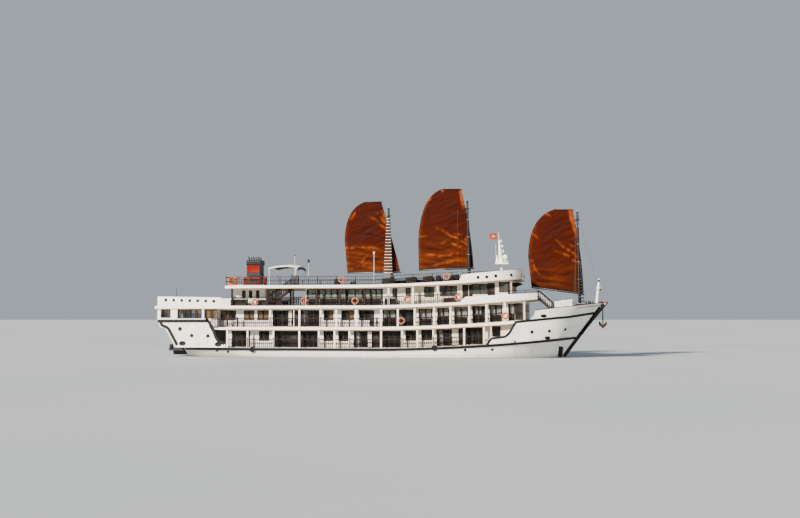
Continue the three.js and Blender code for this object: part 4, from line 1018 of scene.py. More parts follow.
def sailEdges(rig):
    shares = [step / 24 for step in range(25)]
    curve = [bend(rig["leech"], rig["leechPull"], rig["shoulder"], share) for share in shares]
    luff = [bend(rig["tack"], rig["luffPull"], rig["peak"], share) for share in shares]
    return evenly([rig["clew"], *curve], sailCut["rows"]), evenly(luff, sailCut["rows"])


def sailDepth(rig, x, z, u, v):
    sway = 0.12 * noise.noise(Vector((x * 1.1, noiseStart, z * 1.1)))
    folds = creaseNear(x + sway, z + sway, rig["bright"], sailCut["foldWidth"])
    furrows = creaseNear(x + sway, z + sway, rig["dark"], sailCut["furrowWidth"])
    sweep = Vector((x * 0.35 + z * 0.55, noiseStart, z * 1.9 - x * 0.9))
    ripple = noise.noise(sweep) * (0.6 + 0.8 * u) + 0.5 * noise.noise(sweep * 2.3)
    slack = 16 * u * (1 - u) * v * (1 - v)
    depth = sailCut["belly"] * slack + sailCut["foldHeight"] * (folds - 0.7 * furrows)
    return depth + sailCut["rippleHeight"] * ripple * min(1, 6 * v, 6 * (1 - v)), folds, furrows


def sailShades(name, rig, x, z, u, v, foldHighlight, furrow):
    patch = 0.55 + 1.1 * noise.noise(Vector((x, 3, z)) * 2.2)
    # painted highlight in a band along the leech
    edge = exp(-(u / 0.035) ** 2) * (0.35 + 0.5 * patch)
    run, rise = sailCut["wrinkle"]
    wrinkle = noise.noise(Vector((x * run, 5.1, z * rise + x * 0.4)))
    slack = max(0, 1 - v / sailCut["slackTo"])
    # painted highlights on the wrinkle crests of the slack lower cloth, painted shade in their troughs
    lit = 0.25 * slack + 0.9 * slack * max(0, wrinkle)
    # painted sheen highlight in a wedge along the luff
    wedgeHighlight = creaseNear(x, z, rig["wedge"], sailCut["wedgeWidth"])
    # painted shade in bands along the head and the foot of the cloth
    headFootShade = 0.9 * exp(-((1 - v) / 0.014) ** 2) + 0.95 * exp(-(v / 0.022) ** 2)
    (footX, footZ), (headX, headZ) = masts[name]["foot"], masts[name]["head"]
    mastX = footX + (headX - footX) * (z - footZ) / (headZ - footZ)
    # painted shade on the cloth ahead of the mast, partly the mast's shadow and partly a dark luff panel
    regionShade = rig["regionShade"] if x > mastX + 0.03 else 0
    # painted shade on the fore sail's clew corner, where the cloth folds back
    if rig["corner"]:
        (cx, cz), (dx, dz) = rig["corner"]
        regionShade = max(regionShade, 1.2 * (z < cz + (dz - cz) * (x - cx) / (dx - cx)))
    shade = min(1.2, max(0.55 * furrow + 1.1 * slack * max(0, -wrinkle) + headFootShade, regionShade))
    return min(1, max(0, foldHighlight ** 1.4 * patch) + 0.5 * edge + rig["slackHighlight"] * lit + wedgeHighlight), shade


for name, rig in rigs.items():
    leech, luff = sailEdges(rig)
    cloth = addSheet(sailCut["columns"], sailCut["rows"])
    cloth.name = name + "SailCloth"
    shades = []
    for vertex in cloth.data.vertices:
        u, v = vertex.co.x + 0.5, vertex.co.y + 0.5
        row = round(v * sailCut["rows"])
        (ax, az), (bx, bz) = leech[row], luff[row]
        x, z = ax + (bx - ax) * u, az + (bz - az) * u
        depth, foldHighlight, furrow = sailDepth(rig, x, z, u, v)
        low, high = sailCut["reach"]
        vertex.co = at(x, sailCut["plane"] - min(max(depth, low), high), z)
        shades.append(sailShades(name, rig, x, z, u, v, foldHighlight, furrow))
    # store the painted highlight and the painted shade for each point
    for key, values in zip(("foldHighlight", "shade"), zip(*shades)):
        cloth.data.attributes.new(key, "FLOAT", "POINT").data.foreach_set("value", values)
    manner = {"body": name + "_rig", "angle": 60}
    finishPiece(thicken(cloth, sailCut["thickness"]), "sail", **manner)
    outline = leech + luff[::-1]
    rope = tubeAlong([(x, sailCut["plane"], z) for x, z in outline[::4]], sailCut["rope"], closed=True)
    addPiece(name + "BoltRope", rope, "sail", **manner)
    spars = plate(name + "_spars", name + "SparTimbers", "mast", body=name + "_rig", angle=40)
    size = [(max(values) - min(values)) * shipScale for values in zip(*outline)]
    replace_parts(cloth, name + "_sail")
print("sails bent on")

# the solids that keep their own forms
plainSolids = {
    "wall": ["house_" + deck + "_" + side for deck in ("lower", "middle", "upper") for side in sides] + [
        "house_aft", "house_lower_aft_wall", "house_middle_aft_wall", "house_middle_front", "house_upper_aft_wall",
        "house_upper_front"],
    "black": ["rub_strake_starboard", "rub_strake_port", "stem_bar"],
    "antifouling": ["rudder_starboard", "rudder_port"],
}
for key, names in plainSolids.items():
    for name in names:
        for place in nodes[name].material_slots:
            place.material = finishes[key]

doors = {
    "finish": {"lower": "cream", "upper": "wood"}, "lever": 0.63, "member": 0.09, "handle": 0.95, "stand": 0.055}
for level in ("lower", "upper"):
    for side, sign in sides.items():
        node = "door_" + level + "_" + side
        low, high = (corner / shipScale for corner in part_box(node))
        leaf = addBlock(tuple(low), tuple(high))
        insetFaces(leaf, facesAcross, (doors["member"], -0.014), (0.04, 0.01), cuts=1)
        x, z, y = high.x - doors["lever"], low.z + doors["handle"], low.y if sign < 0 else high.y
        out = y + sign * doors["stand"]
        handle = joinAs("handle", [
            addRod((x, y - sign * 0.01, z), (x, y + sign * 0.06, z), 0.018),
            addRod((x, out, z), (x + 0.12, out, z), 0.016, 0.012)])
        leaf, handle = paintWith(leaf, doors["finish"][level]), paintWith(handle, "steel")
        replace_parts(addPiece(level + "Door" + side.title(), [leaf, handle], body=node), node)
print("doors hung")

for side in sides:
    plate(
        "propeller_" + side, "propellerBlades" + side.title(), "bronze", body="propeller_" + side, angle=35)
    for level in galleries:
        plate("gallery_" + level + "_" + side, level + "Pillars" + side.title(), "rail", "wall", slots=[
            lambda face: tallFace(face) and (level != "upper" or face.center.x > bridgeFrom * shipScale)])
plate(
    "swim_platform", "swimPlatform", "charcoal", "planks", "antifouling", soft=[0.03], slots=[facesUp, facesDown])
bothSides("platformBumpers", addBlock((-25.88, -3.72, 0.92), (-25.48, -3.3, 1.5), 0.08, 3), "rubber")
print("solids dressed")

# stem: plates on both bows, a pad at the foot and a red tip
stemPlates = {
    "line": [(26.62, 6.38), (25.6, 5.02), (24.6, 3.68), (23.6, 2.34), (22.6, 1.0), (21.98, 0.16)], "width": 0.42,
    "pad": [(21.5, 0.12), (21.68, 1.35)], "padWidth": 0.5, "thickness": 0.06, "tipFrom": 27.0}
bothSides("stemPlates", [
    ribbonOnSide(stemPlates[line], stemPlates[width], stemPlates["thickness"], hull)
    for line, width in (("line", "width"), ("pad", "padWidth"))], "black")
tip = addBlock((26.62, -0.2, 6.38), (27.12, 0.2, 6.62), 0.07, 2)
openEdit(tip, lambda edge: all(vertex.co.x > stemPlates["tipFrom"] * shipScale for vertex in edge.verts), "EDGE")
bpy.ops.transform.resize(value=(1, 0.6, 0.7))
closeEdit()
addPiece("stemTip", tip, "redTip")
bothSides("bowRimRail", tubeAlong([(x, -half + 0.05, z + 0.07) for x, z, half in bowRim], 0.05), "redwood")
print("stem done")

# masts: hoops, trucks, ladders and standing rigging
mastFit = {"radius": (0.2, 0.12), "hoop": 0.035, "pitch": 2.1, "first": 1.2, "last": 0.3}
for name, mast in masts.items():
    (x0, z0), (x1, z1) = mast["foot"], mast["head"]
    plate(name + "_mast", name + "MastPole", "mast", angle=40)
    fittings = [
        addTorus((x0, 0, z0 + 0.4), 0.3, 0.06), addPost(x1, 0, z1 - 0.02, z1 + 0.08, 0.17, 0.12, 12),
        addPost(x1, 0, z1 + 0.07, z1 + 0.16, 0.08, 0.03, 12)]
    z = z0 + mastFit["first"]
    while z < z1 - mastFit["last"]:
        share = (z - z0) / (z1 - z0)
        radius = mastFit["radius"][0] + (mastFit["radius"][1] - mastFit["radius"][0]) * share
        fittings.append(addTorus((x0 + (x1 - x0) * share, 0, z), radius, mastFit["hoop"], around=16, across=6))
        z += mastFit["pitch"]
    addPiece(name + "MastFittings", fittings, "steel")

ladders = {  # the foot's two sides and height, then the head's
    "mizzen": {
        "foot": (0.26, 1.4, 8.75), "head": (0.70, 0.98, 17.2), "y": -0.45, "pitch": 0.38, "rung": 0.05,
        "rope": 0.016, "finish": "rope"},
    "fore": {
        "foot": (23.78, 24.42, 6.3), "head": (23.78, 23.95, 11.3), "y": -0.34, "pitch": 0.4, "rung": 0.075,
        "rope": 0.03, "finish": "mast"},
}
for name, ladder in ladders.items():
    (a0, b0, z0), (a1, b1, z1), y = ladder["foot"], ladder["head"], ladder["y"]
    count = floor((z1 - z0) / ladder["pitch"])
    rungs = []
    for step in range(1, count + 1):
        share = step / (count + 1)
        z = z0 + (z1 - z0) * share
        ends = [(a + (b - a) * share, y, z) for a, b in ((a0 - 0.04, a1 - 0.04), (b0 + 0.04, b1 + 0.04))]
        rungs.append(addRod(*ends, ladder["rung"]))
    ropes = [
        paintWith(tubeAlong([(x0, y, z0), (x1, y, z1)], ladder["rope"]), "wire") for x0, x1 in ((a0, a1), (b0, b1))]
    addPiece(name + "Ladder", [paintWith(joinAs("rungs", rungs), ladder["finish"]), *ropes])

stays = [
    [(10.52, -0.1, 18.7), (12.75, -4.6, 8.75)], [(10.52, -0.1, 18.7), (11.9, -4.7, 8.75)],
    [(23.7, -0.1, 17.2), (24.6, -1.35, 6.2)], [(23.7, -0.1, 17.2), (23.2, -2.6, 6.1)],
    [(23.7, 0, 17.2), (26.5, 0, 6.45)], [(0.82, -0.1, 18.0), (3.3, -4.9, 8.75)],
    [(23.41, -0.4, 16.9), (23.41, -0.5, 6.15)], [(9.39, -0.5, 17.7), (9.39, -0.6, 8.9)]]
wires = []
for start, end in stays:
    reach = Vector(end) + (Vector(start) - Vector(end)).normalized() * 0.45
    wires += [tubeAlong([start, end], 0.012, 4), addRod(end, tuple(reach), 0.045, 0.03, 6)]
addPiece("standingRigging", wires, "wire")
print("masts rigged")

# funnel
funnelTrim = {
    "side": 0.8, "panel": [(-16.97, 10.34), (-15.3, 11.22)], "louvre": [(-16.6, 9.15), (-15.3, 9.95)],
    "cap": [(-17.09, 11.33), (-15.14, 11.8)], "capHalf": 0.9, "capFrom": 11.27, "mouths": (-16.9, -16.3, -15.7)}
plate(
    "funnel", "funnelCasing", "charcoal", "black", soft=[0.03], angle=35,
    slots=[lambda face: face.center.z > funnelTrim["capFrom"] * shipScale])
y = -funnelTrim["side"]
(x0, z0), (x1, z1) = funnelTrim["panel"]
panel = insetFaces(addBlock((x0, y - 0.04, z0), (x1, y + 0.05, z1), 0.02), facesOut, (0.05, -0.015))
bothSides("funnelPanels", panel, "orange")
(x0, z0), (x1, z1) = funnelTrim["louvre"]
surround = insetFaces(addBlock((x0, y - 0.03, z0), (x1, y + 0.04, z1), 0.015), facesOut, (0.06, -0.05))
slat = addBlock((x0 + 0.06, y - 0.03, z0 + 0.07), (x1 - 0.06, y, z0 + 0.1))
slats = repeatAlong(liftEdges(slat, 0.03, lambda place: place.y > y - 0.001), (0, 0, 0.085), 8)
bothSides("funnelLouvres", [surround, slats], "black")
(x0, z0), (x1, z1) = funnelTrim["cap"]
half = funnelTrim["capHalf"]
bands = [addBlock((x0, -half, z), (x1, half, z + 0.07), 0.02) for z in (z0, (z0 + z1) / 2, z1)]
addPiece("funnelCapBands", bands, "black")
mouths = [
    addTorus((x, y, 12.33), 0.085, 0.022, (0, radians(-25), 0), 12, 5)
    for x in funnelTrim["mouths"] for y in (-0.5, 0.5)]
addPiece("exhaustMouths", mouths, "steel")
print("funnel done")

# awning: a pipe frame and one curved canvas, with a dark valance across its fore end; its underside and inner hem faces
# take a painted shade colour
awning = {
    "edge": [
        (-13.9, 10.8), (-13.3, 10.93), (-12.65, 11.02), (-11.5, 11.08), (-10.9, 11.03), (-10.5, 10.95),
        (-10.2, 10.84)],
    "half": 2.0, "crown": 0.22, "poles": [-13.76, -10.38], "poleY": 1.9, "pole": 0.035, "bar": 0.03, "under": 0.06,
    "columns": 32, "rows": 16, "droop": 0.03, "hem": 0.09, "thickness": 0.014}


def awningTop(x, y):
    lift = awning["crown"] * (1 - (y / awning["half"]) ** 2)
    slack = awning["droop"] * abs(noise.noise(Vector((x * 0.9, y * 0.7, 4.2))))
    return readTable(awning["edge"], x) + lift - slack


awningSheet = addSheet(awning["columns"], awning["rows"])
awningSheet.name = "awningCanvas"
x0, x1 = awning["edge"][0][0], awning["edge"][-1][0]
for vertex in awningSheet.data.vertices:
    x, y = x0 + (x1 - x0) * (vertex.co.x + 0.5), vertex.co.y * 2 * awning["half"]
    vertex.co = at(x, y, awningTop(x, y))
openEdit(awningSheet, lambda edge: edge.is_boundary, "EDGE")
bpy.ops.mesh.extrude_region_move(TRANSFORM_OT_translate={"value": (0, 0, -awning["hem"] * shipScale)})
closeEdit()
turnOutwards(awningSheet)
paintWith(thicken(awningSheet, awning["thickness"]), "awning", "shadeLining")
# undersides and inner hem faces take the painted shade
slotFaces(awningSheet, lambda face: face.normal.z < -0.3 or face.normal.y * face.center.y < -0.4)
finishPiece(awningSheet, angle=35)

valanceCut = {
    "x": -10.17, "half": 1.96, "depth": 0.36, "columns": 40, "rows": 6, "wave": 0.03, "gather": 0.4,
    "gatherFrom": 1.7, "fullness": 1.02}
valance = addSheet(valanceCut["columns"], valanceCut["rows"])
valance.name = "awningValance"
for vertex in valance.data.vertices:
    y, drop = vertex.co.x * 2 * valanceCut["half"], 0.5 - vertex.co.y
    span = valanceCut["half"] - valanceCut["gatherFrom"]
    gathered = valanceCut["gather"] * max(0, abs(y) - valanceCut["gatherFrom"]) / span
    sway = valanceCut["wave"] * drop * sin(y * 11) + 0.02
    z = awningTop(x1, y) - 0.01 - drop * (valanceCut["depth"] + gathered)
    vertex.co = at(valanceCut["x"] + sway, y, z)
turnOutwards(valance)
finishPiece(thicken(valance, awning["thickness"]), "navy", angle=50)

awningDeck, under, poleY = deckTop("sun", awning["poles"][0]), awning["under"], awning["poleY"]
pipes = []
for x in awning["poles"]:
    for y in (-poleY, poleY):
        pipes.append(addPost(x, y, awningDeck, awningTop(x, y) - under, awning["pole"]))
        pipes.append(addPost(x, y, awningDeck, awningDeck + 0.05, 0.13, 0.09, 10))
lines = [[(x, poleY * (step / 5 - 1)) for step in range(11)] for x in (*awning["poles"], sum(awning["poles"]) / 2)]
lines += [[(x, y) for x, _ in awning["edge"]] for y in (-poleY, 0, poleY)]
pipes += [tubeAlong([(x, y, awningTop(x, y) - under) for x, y in line], awning["bar"]) for line in lines]
awningFrame = addPiece("awningFrame", pipes, "white")
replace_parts(awningSheet, "awning")
print("awning stretched")

# life floats on their rack
floats = {
    "starboard": [(-18.05, -17.0), (-16.15, -14.1)], "port": [(-18.05, -17.0)], "y": 4.55, "half": 0.22, "low": 8.7,
    "high": 9.68, "net": 0.14, "twine": 0.012, "cord": 0.018, "rackTop": 8.75, "paleTo": -16.7}


def netOver(x0, x1, y):
    low, high, twine = floats["low"], floats["high"], floats["twine"]
    tall, wide = high - low, x1 - x0
    count = round(wide / floats["net"])
    columns = [x0 + wide * step / count for step in range(1, count)]
    lines = [tubeAlong([(x, y * 0.999, low + 0.2), (x, y, high - 0.2)], twine, 4) for x in columns]
    rows = [low + tall * step / 5 for step in range(1, 5)]
    lines += [tubeAlong([(x0 + 0.2, y, z), (x1 - 0.2, y, z)], twine, 4) for z in rows]
    loop = []
    for step in range(33):
        angle = 2 * pi * step / 32
        dip = 0.1 + 0.03 * abs(sin(angle * 4))
        loop.append((
            (x0 + x1) / 2 + cos(angle) * (wide / 2 - dip), y, (low + high) / 2 + sin(angle) * (tall / 2 - dip)))
    return [*lines, tubeAlong(loop, floats["cord"], 4)]


def onRack(face):
    return face.center.z < floats["rackTop"] * shipScale


for side, sign in sides.items():
    plate(
        "life_floats_" + side, "lifeFloats" + side.title(), "floatOrange", "steel", "floatPale", soft=[0.05, 0.03],
        angle=40, slots=[onRack, lambda face: face.center.x < floats["paleTo"] * shipScale and not onRack(face)])
    nets = [
        line for x0, x1 in floats[side] for face in (-floats["half"], floats["half"])
        for line in netOver(x0, x1, sign * floats["y"] + face)]
    addPiece("floatNets" + side.title(), nets, "netting")
print("life floats netted")

# life rings on the rails
lifeRings = {
    "places": [
        (-14.5, 6.58), (-8.42, 6.75), (-2.21, 6.71), (4.06, 6.86), (10.04, 7.07), (3.34, 4.37), (15.48, 4.95)],
    "sunDeck": [(-3.83, 9.23), (8.72, 9.55)],
    "y": -5.37, "radius": 0.31, "tube": 0.085, "bandHalf": 0.04, "line": 0.01}


def lifeRing(x, z):
    y, radius = lifeRings["y"], lifeRings["radius"]
    ring = paintWith(addTorus((x, y, z), radius, lifeRings["tube"], (quarter, 0, 0), 48, 10), "lifeRing")
    turns = [
        atan2(vertex.co.z / shipScale - z, vertex.co.x / shipScale - x) / quarter for vertex in ring.data.vertices]
    ring.data.attributes.new("band", "FLOAT", "POINT").data.foreach_set(
        "value", [float(abs(turn % 1 - 0.5) < lifeRings["bandHalf"]) for turn in turns])
    loop = []
    for step in range(48):
        angle = 2 * pi * step / 48
        out = radius + 0.075 + 0.05 * abs(sin(2 * angle - quarter))
        loop.append((x + cos(angle) * out, y, z + sin(angle) * out))
    return joinAs("ring", [ring, paintWith(tubeAlong(loop, lifeRings["line"], 4, closed=True), "rope")])


bothSides("lifeRings", [lifeRing(x, z) for x, z in lifeRings["places"]])
addPiece("sunDeckLifeRings", [lifeRing(x, z) for x, z in lifeRings["sunDeck"]])
print("life rings hung")

# sun deck: rail, lamps and seats
lampPostsFrom = 11
plate("railing_sun_deck", "sunDeckRail", "rail", "rope", slots=[
    lambda face: tallFace(face) and faceHeights(face)[1] > lampPostsFrom])
sunBars = {"from": -13.6, "pitch": 0.26, "count": 88, "radius": 0.016, "y": -5.26, "top": 1.03}
stave = addPost(sunBars["from"], sunBars["y"], 0, sunBars["top"], sunBars["radius"], None, 5)
staves = repeatAlong(stave, (sunBars["pitch"], 0, 0), sunBars["count"])
bothSides("sunRailStaves", followSheer(staves, "sun"), "rail")
deckLamps = [  # x, y, z, radius, finish
    (-9.6, -5.26, 12.2, 0.07, "black"), (-7.9, -5.26, 11.5, 0.15, "black"), (0.05, -5.26, 12.4, 0.11, "white"),
    (9.2, 5.26, 13.5, 0.1, "white")]
for number, (x, y, z, size, colour) in enumerate(deckLamps):
    globe = addShape(
        "uv_sphere", segments=14, ring_count=8, radius=size * shipScale, location=at(x, y, z - 0.02))
    openEdit(globe, lambda face: face.normal.z < -0.75)
    bpy.ops.mesh.extrude_region_move(TRANSFORM_OT_translate={"value": at(0, 0, -size * 0.5)})
    closeEdit()
    hood = addPost(x, y, z + size * 0.7, z + size * 1.2, size * 1.1, size * 0.3, 14)
    addPiece("deckLamp" + str(number), [globe, hood], colour)

bothSides("sunBulwarkFrontPorts", addBlock((17.06, -2.75, 9.45), (17.2, -2.45, 10.0), 0.06, 2), "black")
bracketCut = {"rows": (-2.5, -1.5, -0.5), "aft": 16.02, "fore": 17.0, "low": 8.4, "high": 8.86, "rise": 0.38}
brackets = [
    liftEdges(
        addBlock((bracketCut["aft"], y - 0.06, bracketCut["low"]), (bracketCut["fore"], y + 0.06, bracketCut["high"])),
        bracketCut["rise"], lambda place: place.x > bracketCut["aft"] + 0.1 and place.z < bracketCut["low"] + 0.1)
    for y in bracketCut["rows"]]
bothSides("sunDeckBrackets", brackets, "wood")

bulwarkRails = {  # x, half breadth, z
    "sun": [
        (10.54, 5.2, 9.97), (11.79, 5.2, 10.05), (13.39, 5.1390625, 10.11), (16.04, 4.196, 10.19), (17.0, 2.9, 10.36)],
    "bridge": [(16.0, 5.0, 7.86), (17.75, 4.3875, 7.92), (19.0, 3.6333333, 7.95)],
}
for name, path in bulwarkRails.items():
    parts = [addPost(x, -half, z - 0.4, z, 0.03, None, 6) for x, half, z in path]
    bothSides(name + "BulwarkRails", [tubeAlong([(x, -half, z) for x, half, z in path], 0.035), *parts], "rail")


def rattanSofa(x0, x1, high):
    y = -4.6
    seat = addBlock((x0, y, 0.08), (x1, y + 0.85, 0.42), 0.03, 2)
    back = addBlock((x0, y - 0.02, 0.3), (x1, y + 0.16, high), 0.04, 2)
    arms = [addBlock((x, y, 0.1), (x + 0.14, y + 0.85, 0.62), 0.035, 2) for x in (x0, x1 - 0.14)]
    legs = [addPost(x, y + dy, 0, 0.1, 0.04) for x in (x0 + 0.1, x1 - 0.1) for dy in (0.1, 0.75)]
    return joinAs("sofa", [seat, back, *arms, *legs])


sofas = [
    (-4.9, -4.25, 0.8), (0.89, 2.37, 0.8), (3.66, 5.03, 0.78), (5.77, 6.95, 0.82), (7.31, 7.86, 0.82),
    (8.86, 10.03, 0.78)]
seats = followSheer(joinAs("seats", [rattanSofa(*sofa) for sofa in sofas]), "sun")
finishPiece(mirrorToPort(addPiece("sunDeckSofas", seats, "wood"), "sunDeckSofasPort"))
print("sun deck furnished")


# upper deck: counters with pale tops, tables and chairs in the saloon
def counter(x0, x1, high):
    y = -5.0
    body = addBlock((x0, y, 0.02), (x1, y + 0.55, high - 0.08), 0.015)
    paintWith(insetFaces(body, facesAcross, (0.09, -0.03)), "redwood" if x0 > 5 else "wood")
    top = addBlock((x0 - 0.06, y - 0.06, high - 0.15), (x1 + 0.06, y + 0.61, high), 0.025, 2)
    return joinAs("counter", [body, paintWith(top, "white")])


counters = [(-17.69, -15.67, 0.92), (-14.42, -13.18, 0.86), (1.25, 2.44, 0.92), (8.26, 9.6, 0.72)]
bothSides("galleryCounters", followSheer(joinAs("counters", [counter(*row) for row in counters]), "upper"))


def diningChair(x, y, dx, key):
    x, lean = x + dx, 0.2 if dx > 0 else -0.2
    seat = addBlock((x - 0.22, y - 0.22, 0.42), (x + 0.22, y + 0.22, 0.48), 0.02, 2)
    legs = [addPost(x + across, y + out, 0, 0.43, 0.025, None, 6) for across in (-0.18, 0.18) for out in (-0.18, 0.18)]
    back = addBlock((x - 0.03 + lean, y - 0.22, 0.5), (x + 0.03 + lean, y + 0.22, 1.0), 0.02, 2)
    return paintWith(joinAs("chair", [seat, back, *legs]), key)


def diningSet(x, y, apart, key):
    top = paintWith(bevelAll(addPost(x, y, 0.72, 0.77, 0.48, 0.5, 20), 0.008), "rope")
    stem = joinAs("stem", [addPost(x, y, 0.04, 0.73, 0.06, 0.05, 10), addPost(x, y, 0, 0.06, 0.3, 0.1, 16)])
    return [top, paintWith(stem, "rail"), *(diningChair(x, y, dx, key) for dx in (-apart, apart))]


tables = [-7.2, -5.0, -2.6, -0.2, 6.4, 8.8, 12.4]
sets = [piece for x in tables for piece in diningSet(x, -2.9, 0.75, "redwood")]
bothSides("saloonTables", followSheer(joinAs("sets", sets), "upper"))
bothSides("sternGallerySeats", followSheer(joinAs("sets", diningSet(-25.75, -3.9, 0.7, "wood")), "middle"))
print("decks furnished")

# stern gallery rail in its side opening, and the rails beside the stern
sternRail = {"ends": (-26.38, -25.12), "y": -5.27, "foot": 4.72, "top": 5.28, "pitch": 0.14, "count": 9}
(x0, x1), y, top = sternRail["ends"], sternRail["y"], sternRail["top"]
stave = addPost(x0 + 0.08, y, sternRail["foot"], top - 0.05, 0.03, None, 6)
bothSides("sternGalleryRail", [
    addBlock((x0, y - 0.04, top - 0.08), (x1, y + 0.06, top), 0.015),
    repeatAlong(stave, (sternRail["pitch"], 0, 0), sternRail["count"])], "rail")
sideRail = {"spans": [(-19.95, -19.2, -5.38), (-19.2, -17.98, -5.21)], "low": 3.66, "high": 4.62, "pitch": 0.19}
parts = []
for x0, x1, y in sideRail["spans"]:
    low, high = sideRail["low"], sideRail["high"]
    parts += [addBlock((x0, y - 0.05, z - 0.07), (x1, y + 0.05, z), 0.012) for z in (low + 0.04, high)]
    count = round((x1 - x0) / sideRail["pitch"])
    parts += [
        addPost(x0 + (x1 - x0) * step / count, y, low, high - 0.03, 0.035, None, 6) for step in range(count + 1)]
bothSides("sternSideRails", parts, "rail")

# pale pipes down the galleries
drainPipes = {
    "lower": [(-18.01, -5.2), (-15.41, -5.2), (-9.02, -5.2), (0.88, -5.2), (10.73, -5.2), (13.83, -5.2)],
    "middle": [(-9.7, -5.2), (-8.96, -5.2), (-2.18, -5.2), (-1.95, -5.2), (17.63, -4.5)]}
parts = []
for level, places in drainPipes.items():
    for x, y in places:
        head = deckTop(decks[level]["above"], x) - slabDepth
        parts.append(addPost(x, y, deckTop(level, x), head, 0.055))
        parts.append(addTorus((x, y, head - 0.15), 0.065, 0.02, around=12, across=5))
bothSides("drainPipes", parts, "white")

# stairs
plate("stair_upper_to_sun", "sunStair", "redwood", "wood", slots=[lambda face: face.normal.z > 0.9])
plate("stairs_bow", "bowStairs", "rail", "wood", slots=[lambda face: face.normal.z > 0.9])


def stairRail(foot, head, y, high, pitch, staveKey):
    (x0, z0), (x1, z1) = foot, head
    count = ceil(abs(x1 - x0) / pitch)
    places = [(x0 + (x1 - x0) * step / count, y, z0 + (z1 - z0) * step / count) for step in range(count + 1)]
    ends = [addPost(x, y, z, z + high + 0.1, 0.055, None, 6) for x, y, z in (places[0], places[-1])]
    ends.append(tubeAlong([(x0, y, z0 + high), (x1, y, z1 + high)], 0.05, 8))
    ends.append(tubeAlong([(x0, y, z0 + 0.1), (x1, y, z1 + 0.1)], 0.03))
    staves = [addPost(x, y, z, z + high, 0.022, None, 6) for x, y, z in places[1:-1]]
    return [paintWith(joinAs("hand", ends), "rail"), paintWith(joinAs("staves", staves), staveKey)]


for number, y in enumerate((-4.8, -4.0)):
    addPiece("sunStairRail" + str(number), stairRail((-13.25, 6.25), (-10.25, 8.35), y, 0.95, 0.28, "wood"))
for number, y in enumerate((-2.93, -2.07)):
    bothSides("bowStairRail" + str(number), stairRail((20.72, 5.75), (19.12, 7.15), y, 0.75, 0.2, "rope"))
newels = [addPost(x, y, 8.6, 9.85, 0.09, 0.07, 8) for x in (-10.05, -9.55) for y in (-4.85, -3.95)]
addPiece("sunStairNewels", newels, "rail")
print("stairs railed")

# signal mast, light mast and the flag
signal = plate("signal_mast", "signalMastTower", "white", angle=40)
signalGear = {
    "x": 14.45, "arms": [(12.55, 0.42), (13.2, 0.34), (13.85, 0.26)],
    "lamps": [(14.85, 12.75), (14.75, 13.35), (14.6, 13.95)],
    "platform": {"aft": 13.95, "fore": 15.5, "half": 0.7, "low": 11.28, "high": 11.5}}
x, gear = signalGear["x"], []
for z, reach in signalGear["arms"]:
    gear.append(addRod((x, 0, z), (x + reach, 0, z + 0.03), 0.03, corners=6))
    gear.append(addRod((x, -reach * 1.6, z), (x, reach * 1.6, z), 0.03, corners=6))
for x, z in signalGear["lamps"]:
    gear.append(addPost(x, 0, z - 0.12, z + 0.1, 0.08, 0.08, 10))
    gear.append(addPost(x, 0, z + 0.1, z + 0.16, 0.1, 0.04, 10))
gear += [
    addRod((14.1, -0.35, 12.12), (14.1, 0.5, 12.12), 0.09), addPost(14.1, 0.06, 11.3, 12.05, 0.16, 0.12, 12),
    addPost(14.75, -0.45, 11.3, 11.62, 0.17, 0.1, 14), addRod((14.0, 0.5, 11.3), (13.85, 0.55, 13.6), 0.02, 0.012, 6)]
addPiece("signalMastGear", gear, "white", angle=40)
platform = signalGear["platform"]
aft, fore, half, high = (platform[key] for key in ("aft", "fore", "half", "high"))
railing = [tubeAlong(
    [(aft, -half, high), (fore, -half, high), (fore, half, high), (aft, half, high)], 0.02, closed=True)]
railing += [addPost(x, y, platform["low"], high, 0.018, None, 6) for x in (13.98, 14.7, 15.47) for y in (-0.68, 0.68)]
addPiece("radarPlatformRail", railing, "white")
plate("light_mast", "lightMastLegs", "white", angle=40)
fairingCut = {"x": (25.72, 26.2), "z": (6.4, 8.75), "foot": 25.93, "rake": 0.16, "taper": 0.55}
(x0, x1), (z0, z1) = fairingCut["x"], fairingCut["z"]
fairing = addBlock((x0, -0.06, z0), (x1, 0.06, z1), 0.02)
for vertex in fairing.data.vertices:
    share = (vertex.co.z / shipScale - z0) / (z1 - z0)
    out = (vertex.co.x / shipScale - (x0 + x1) / 2) * (1 - fairingCut["taper"] * share)
    vertex.co.x = (fairingCut["foot"] + fairingCut["rake"] * share + out) * shipScale
addPiece("lightMastFairing", fairing, "white")
addPiece("lightMastLamps", [
    addPost(26.12, 0, 8.95, 9.15, 0.1, 0.1, 12), addPost(26.12, 0, 9.15, 9.24, 0.13, 0.05, 12),
    addPost(26.3, 0, 7.95, 8.15, 0.07, 0.07, 10), addRod((26.02, 0, 7.92), (26.34, 0, 7.92), 0.03)], "black")
addPiece("sternAerial", addPost(-24.55, -4.9, 6.2, 8.45, 0.05, 0.02, 6), "charcoal")

flagCut = {"x": (13.22, 14.12), "z": (14.2, 14.88), "columns": 28, "rows": 16, "wave": 0.13, "star": 0.24}
(flagFly, flagHoist), (flagLow, flagHigh) = flagCut["x"], flagCut["z"]


def flagPlace(u, v):
    x = flagHoist + (flagFly - flagHoist) * u
    z = flagLow + (flagHigh - flagLow) * v - 0.06 * u * (1 - v) + 0.05 * u ** 2
    return at(x, flagCut["wave"] * u * sin(7.5 * u + 1.2 * v), z)


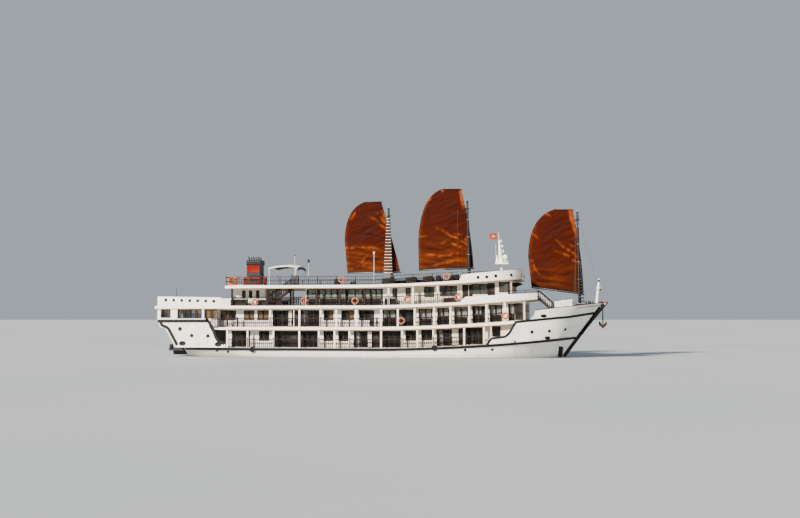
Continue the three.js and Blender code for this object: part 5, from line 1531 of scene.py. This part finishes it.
flag = addSheet(flagCut["columns"], flagCut["rows"])
flag.name = "flagCloth"
for vertex in flag.data.vertices:
    vertex.co = flagPlace(vertex.co.x + 0.5, vertex.co.y + 0.5)
turnOutwards(flag)
finishPiece(thicken(flag, 0.006), "flagRed", angle=60)
star = addShape("circle", vertices=10, radius=1, fill_type="NGON")
openEdit(star)
bpy.ops.mesh.poke()
bpy.ops.mesh.subdivide(number_cuts=2)
closeEdit()
for vertex in star.data.vertices:
    turn = atan2(vertex.co.x, vertex.co.y) / (pi / 5)
    reach = hypot(vertex.co.x, vertex.co.y) * (1 - 0.6 * abs((turn + 1) % 2 - 1)) * flagCut["star"]
    angle = turn * pi / 5
    vertex.co = flagPlace(
        0.46 + sin(angle) * reach / (flagHoist - flagFly), 0.5 + cos(angle) * reach / (flagHigh - flagLow))
addPiece("flagStar", thicken(star, 0.02), "flagGold", angle=60)
print("flag hoisted")

# foredeck gear
benchCut = {"x": (20.95, 23.05), "y": -1.75, "deep": 0.7, "low": 0.04, "high": 0.98, "bars": (0.24, 0.9), "pitch": 0.15}
(x0, x1), y = benchCut["x"], benchCut["y"]
bars = [addBlock((x0, y, z), (x1, y + benchCut["deep"], z + 0.08), 0.015) for z in benchCut["bars"]]
slat = addBlock((x0, y - 0.03, benchCut["low"]), (x0 + 0.1, y + 0.03, benchCut["high"] - 0.02), 0.012)
slats = repeatAlong(slat, (benchCut["pitch"], 0, 0), round((x1 - x0) / benchCut["pitch"]))
bench = joinAs("bench", [*bars, slats])
for vertex in bench.data.vertices:
    vertex.co.z += foredeckTop(vertex.co.x / shipScale) * shipScale
bothSides("foredeckBenches", bench, "white")
plate("anchor", "bowAnchor", "rust", soft=[0.02], angle=40)
chainRun = {"links": 12, "top": (26.55, -0.6, 6.45), "pitch": 0.125, "radius": 0.055, "wire": 0.02, "long": 1.5}
chain = []
for step in range(chainRun["links"]):
    link = addTorus((0, 0, 0), chainRun["radius"], chainRun["wire"], around=10, across=5)
    x, y, z = chainRun["top"]
    link.data.transform(
        movedBy(x, y, z - step * chainRun["pitch"]) @ Matrix.Rotation(quarter * (step % 2), 4, "Z")
        @ Matrix.Rotation(quarter, 4, "X") @ Matrix.Diagonal((1, chainRun["long"], 1, 1)))
    chain.append(link)
addPiece("anchorChain", chain, "rust")
plate("windlass", "windlassDrums", "charcoal", soft=[0.03], angle=40)
plate("foredeck_lockers", "foredeckLockers", "white", soft=[0.03], angle=40)
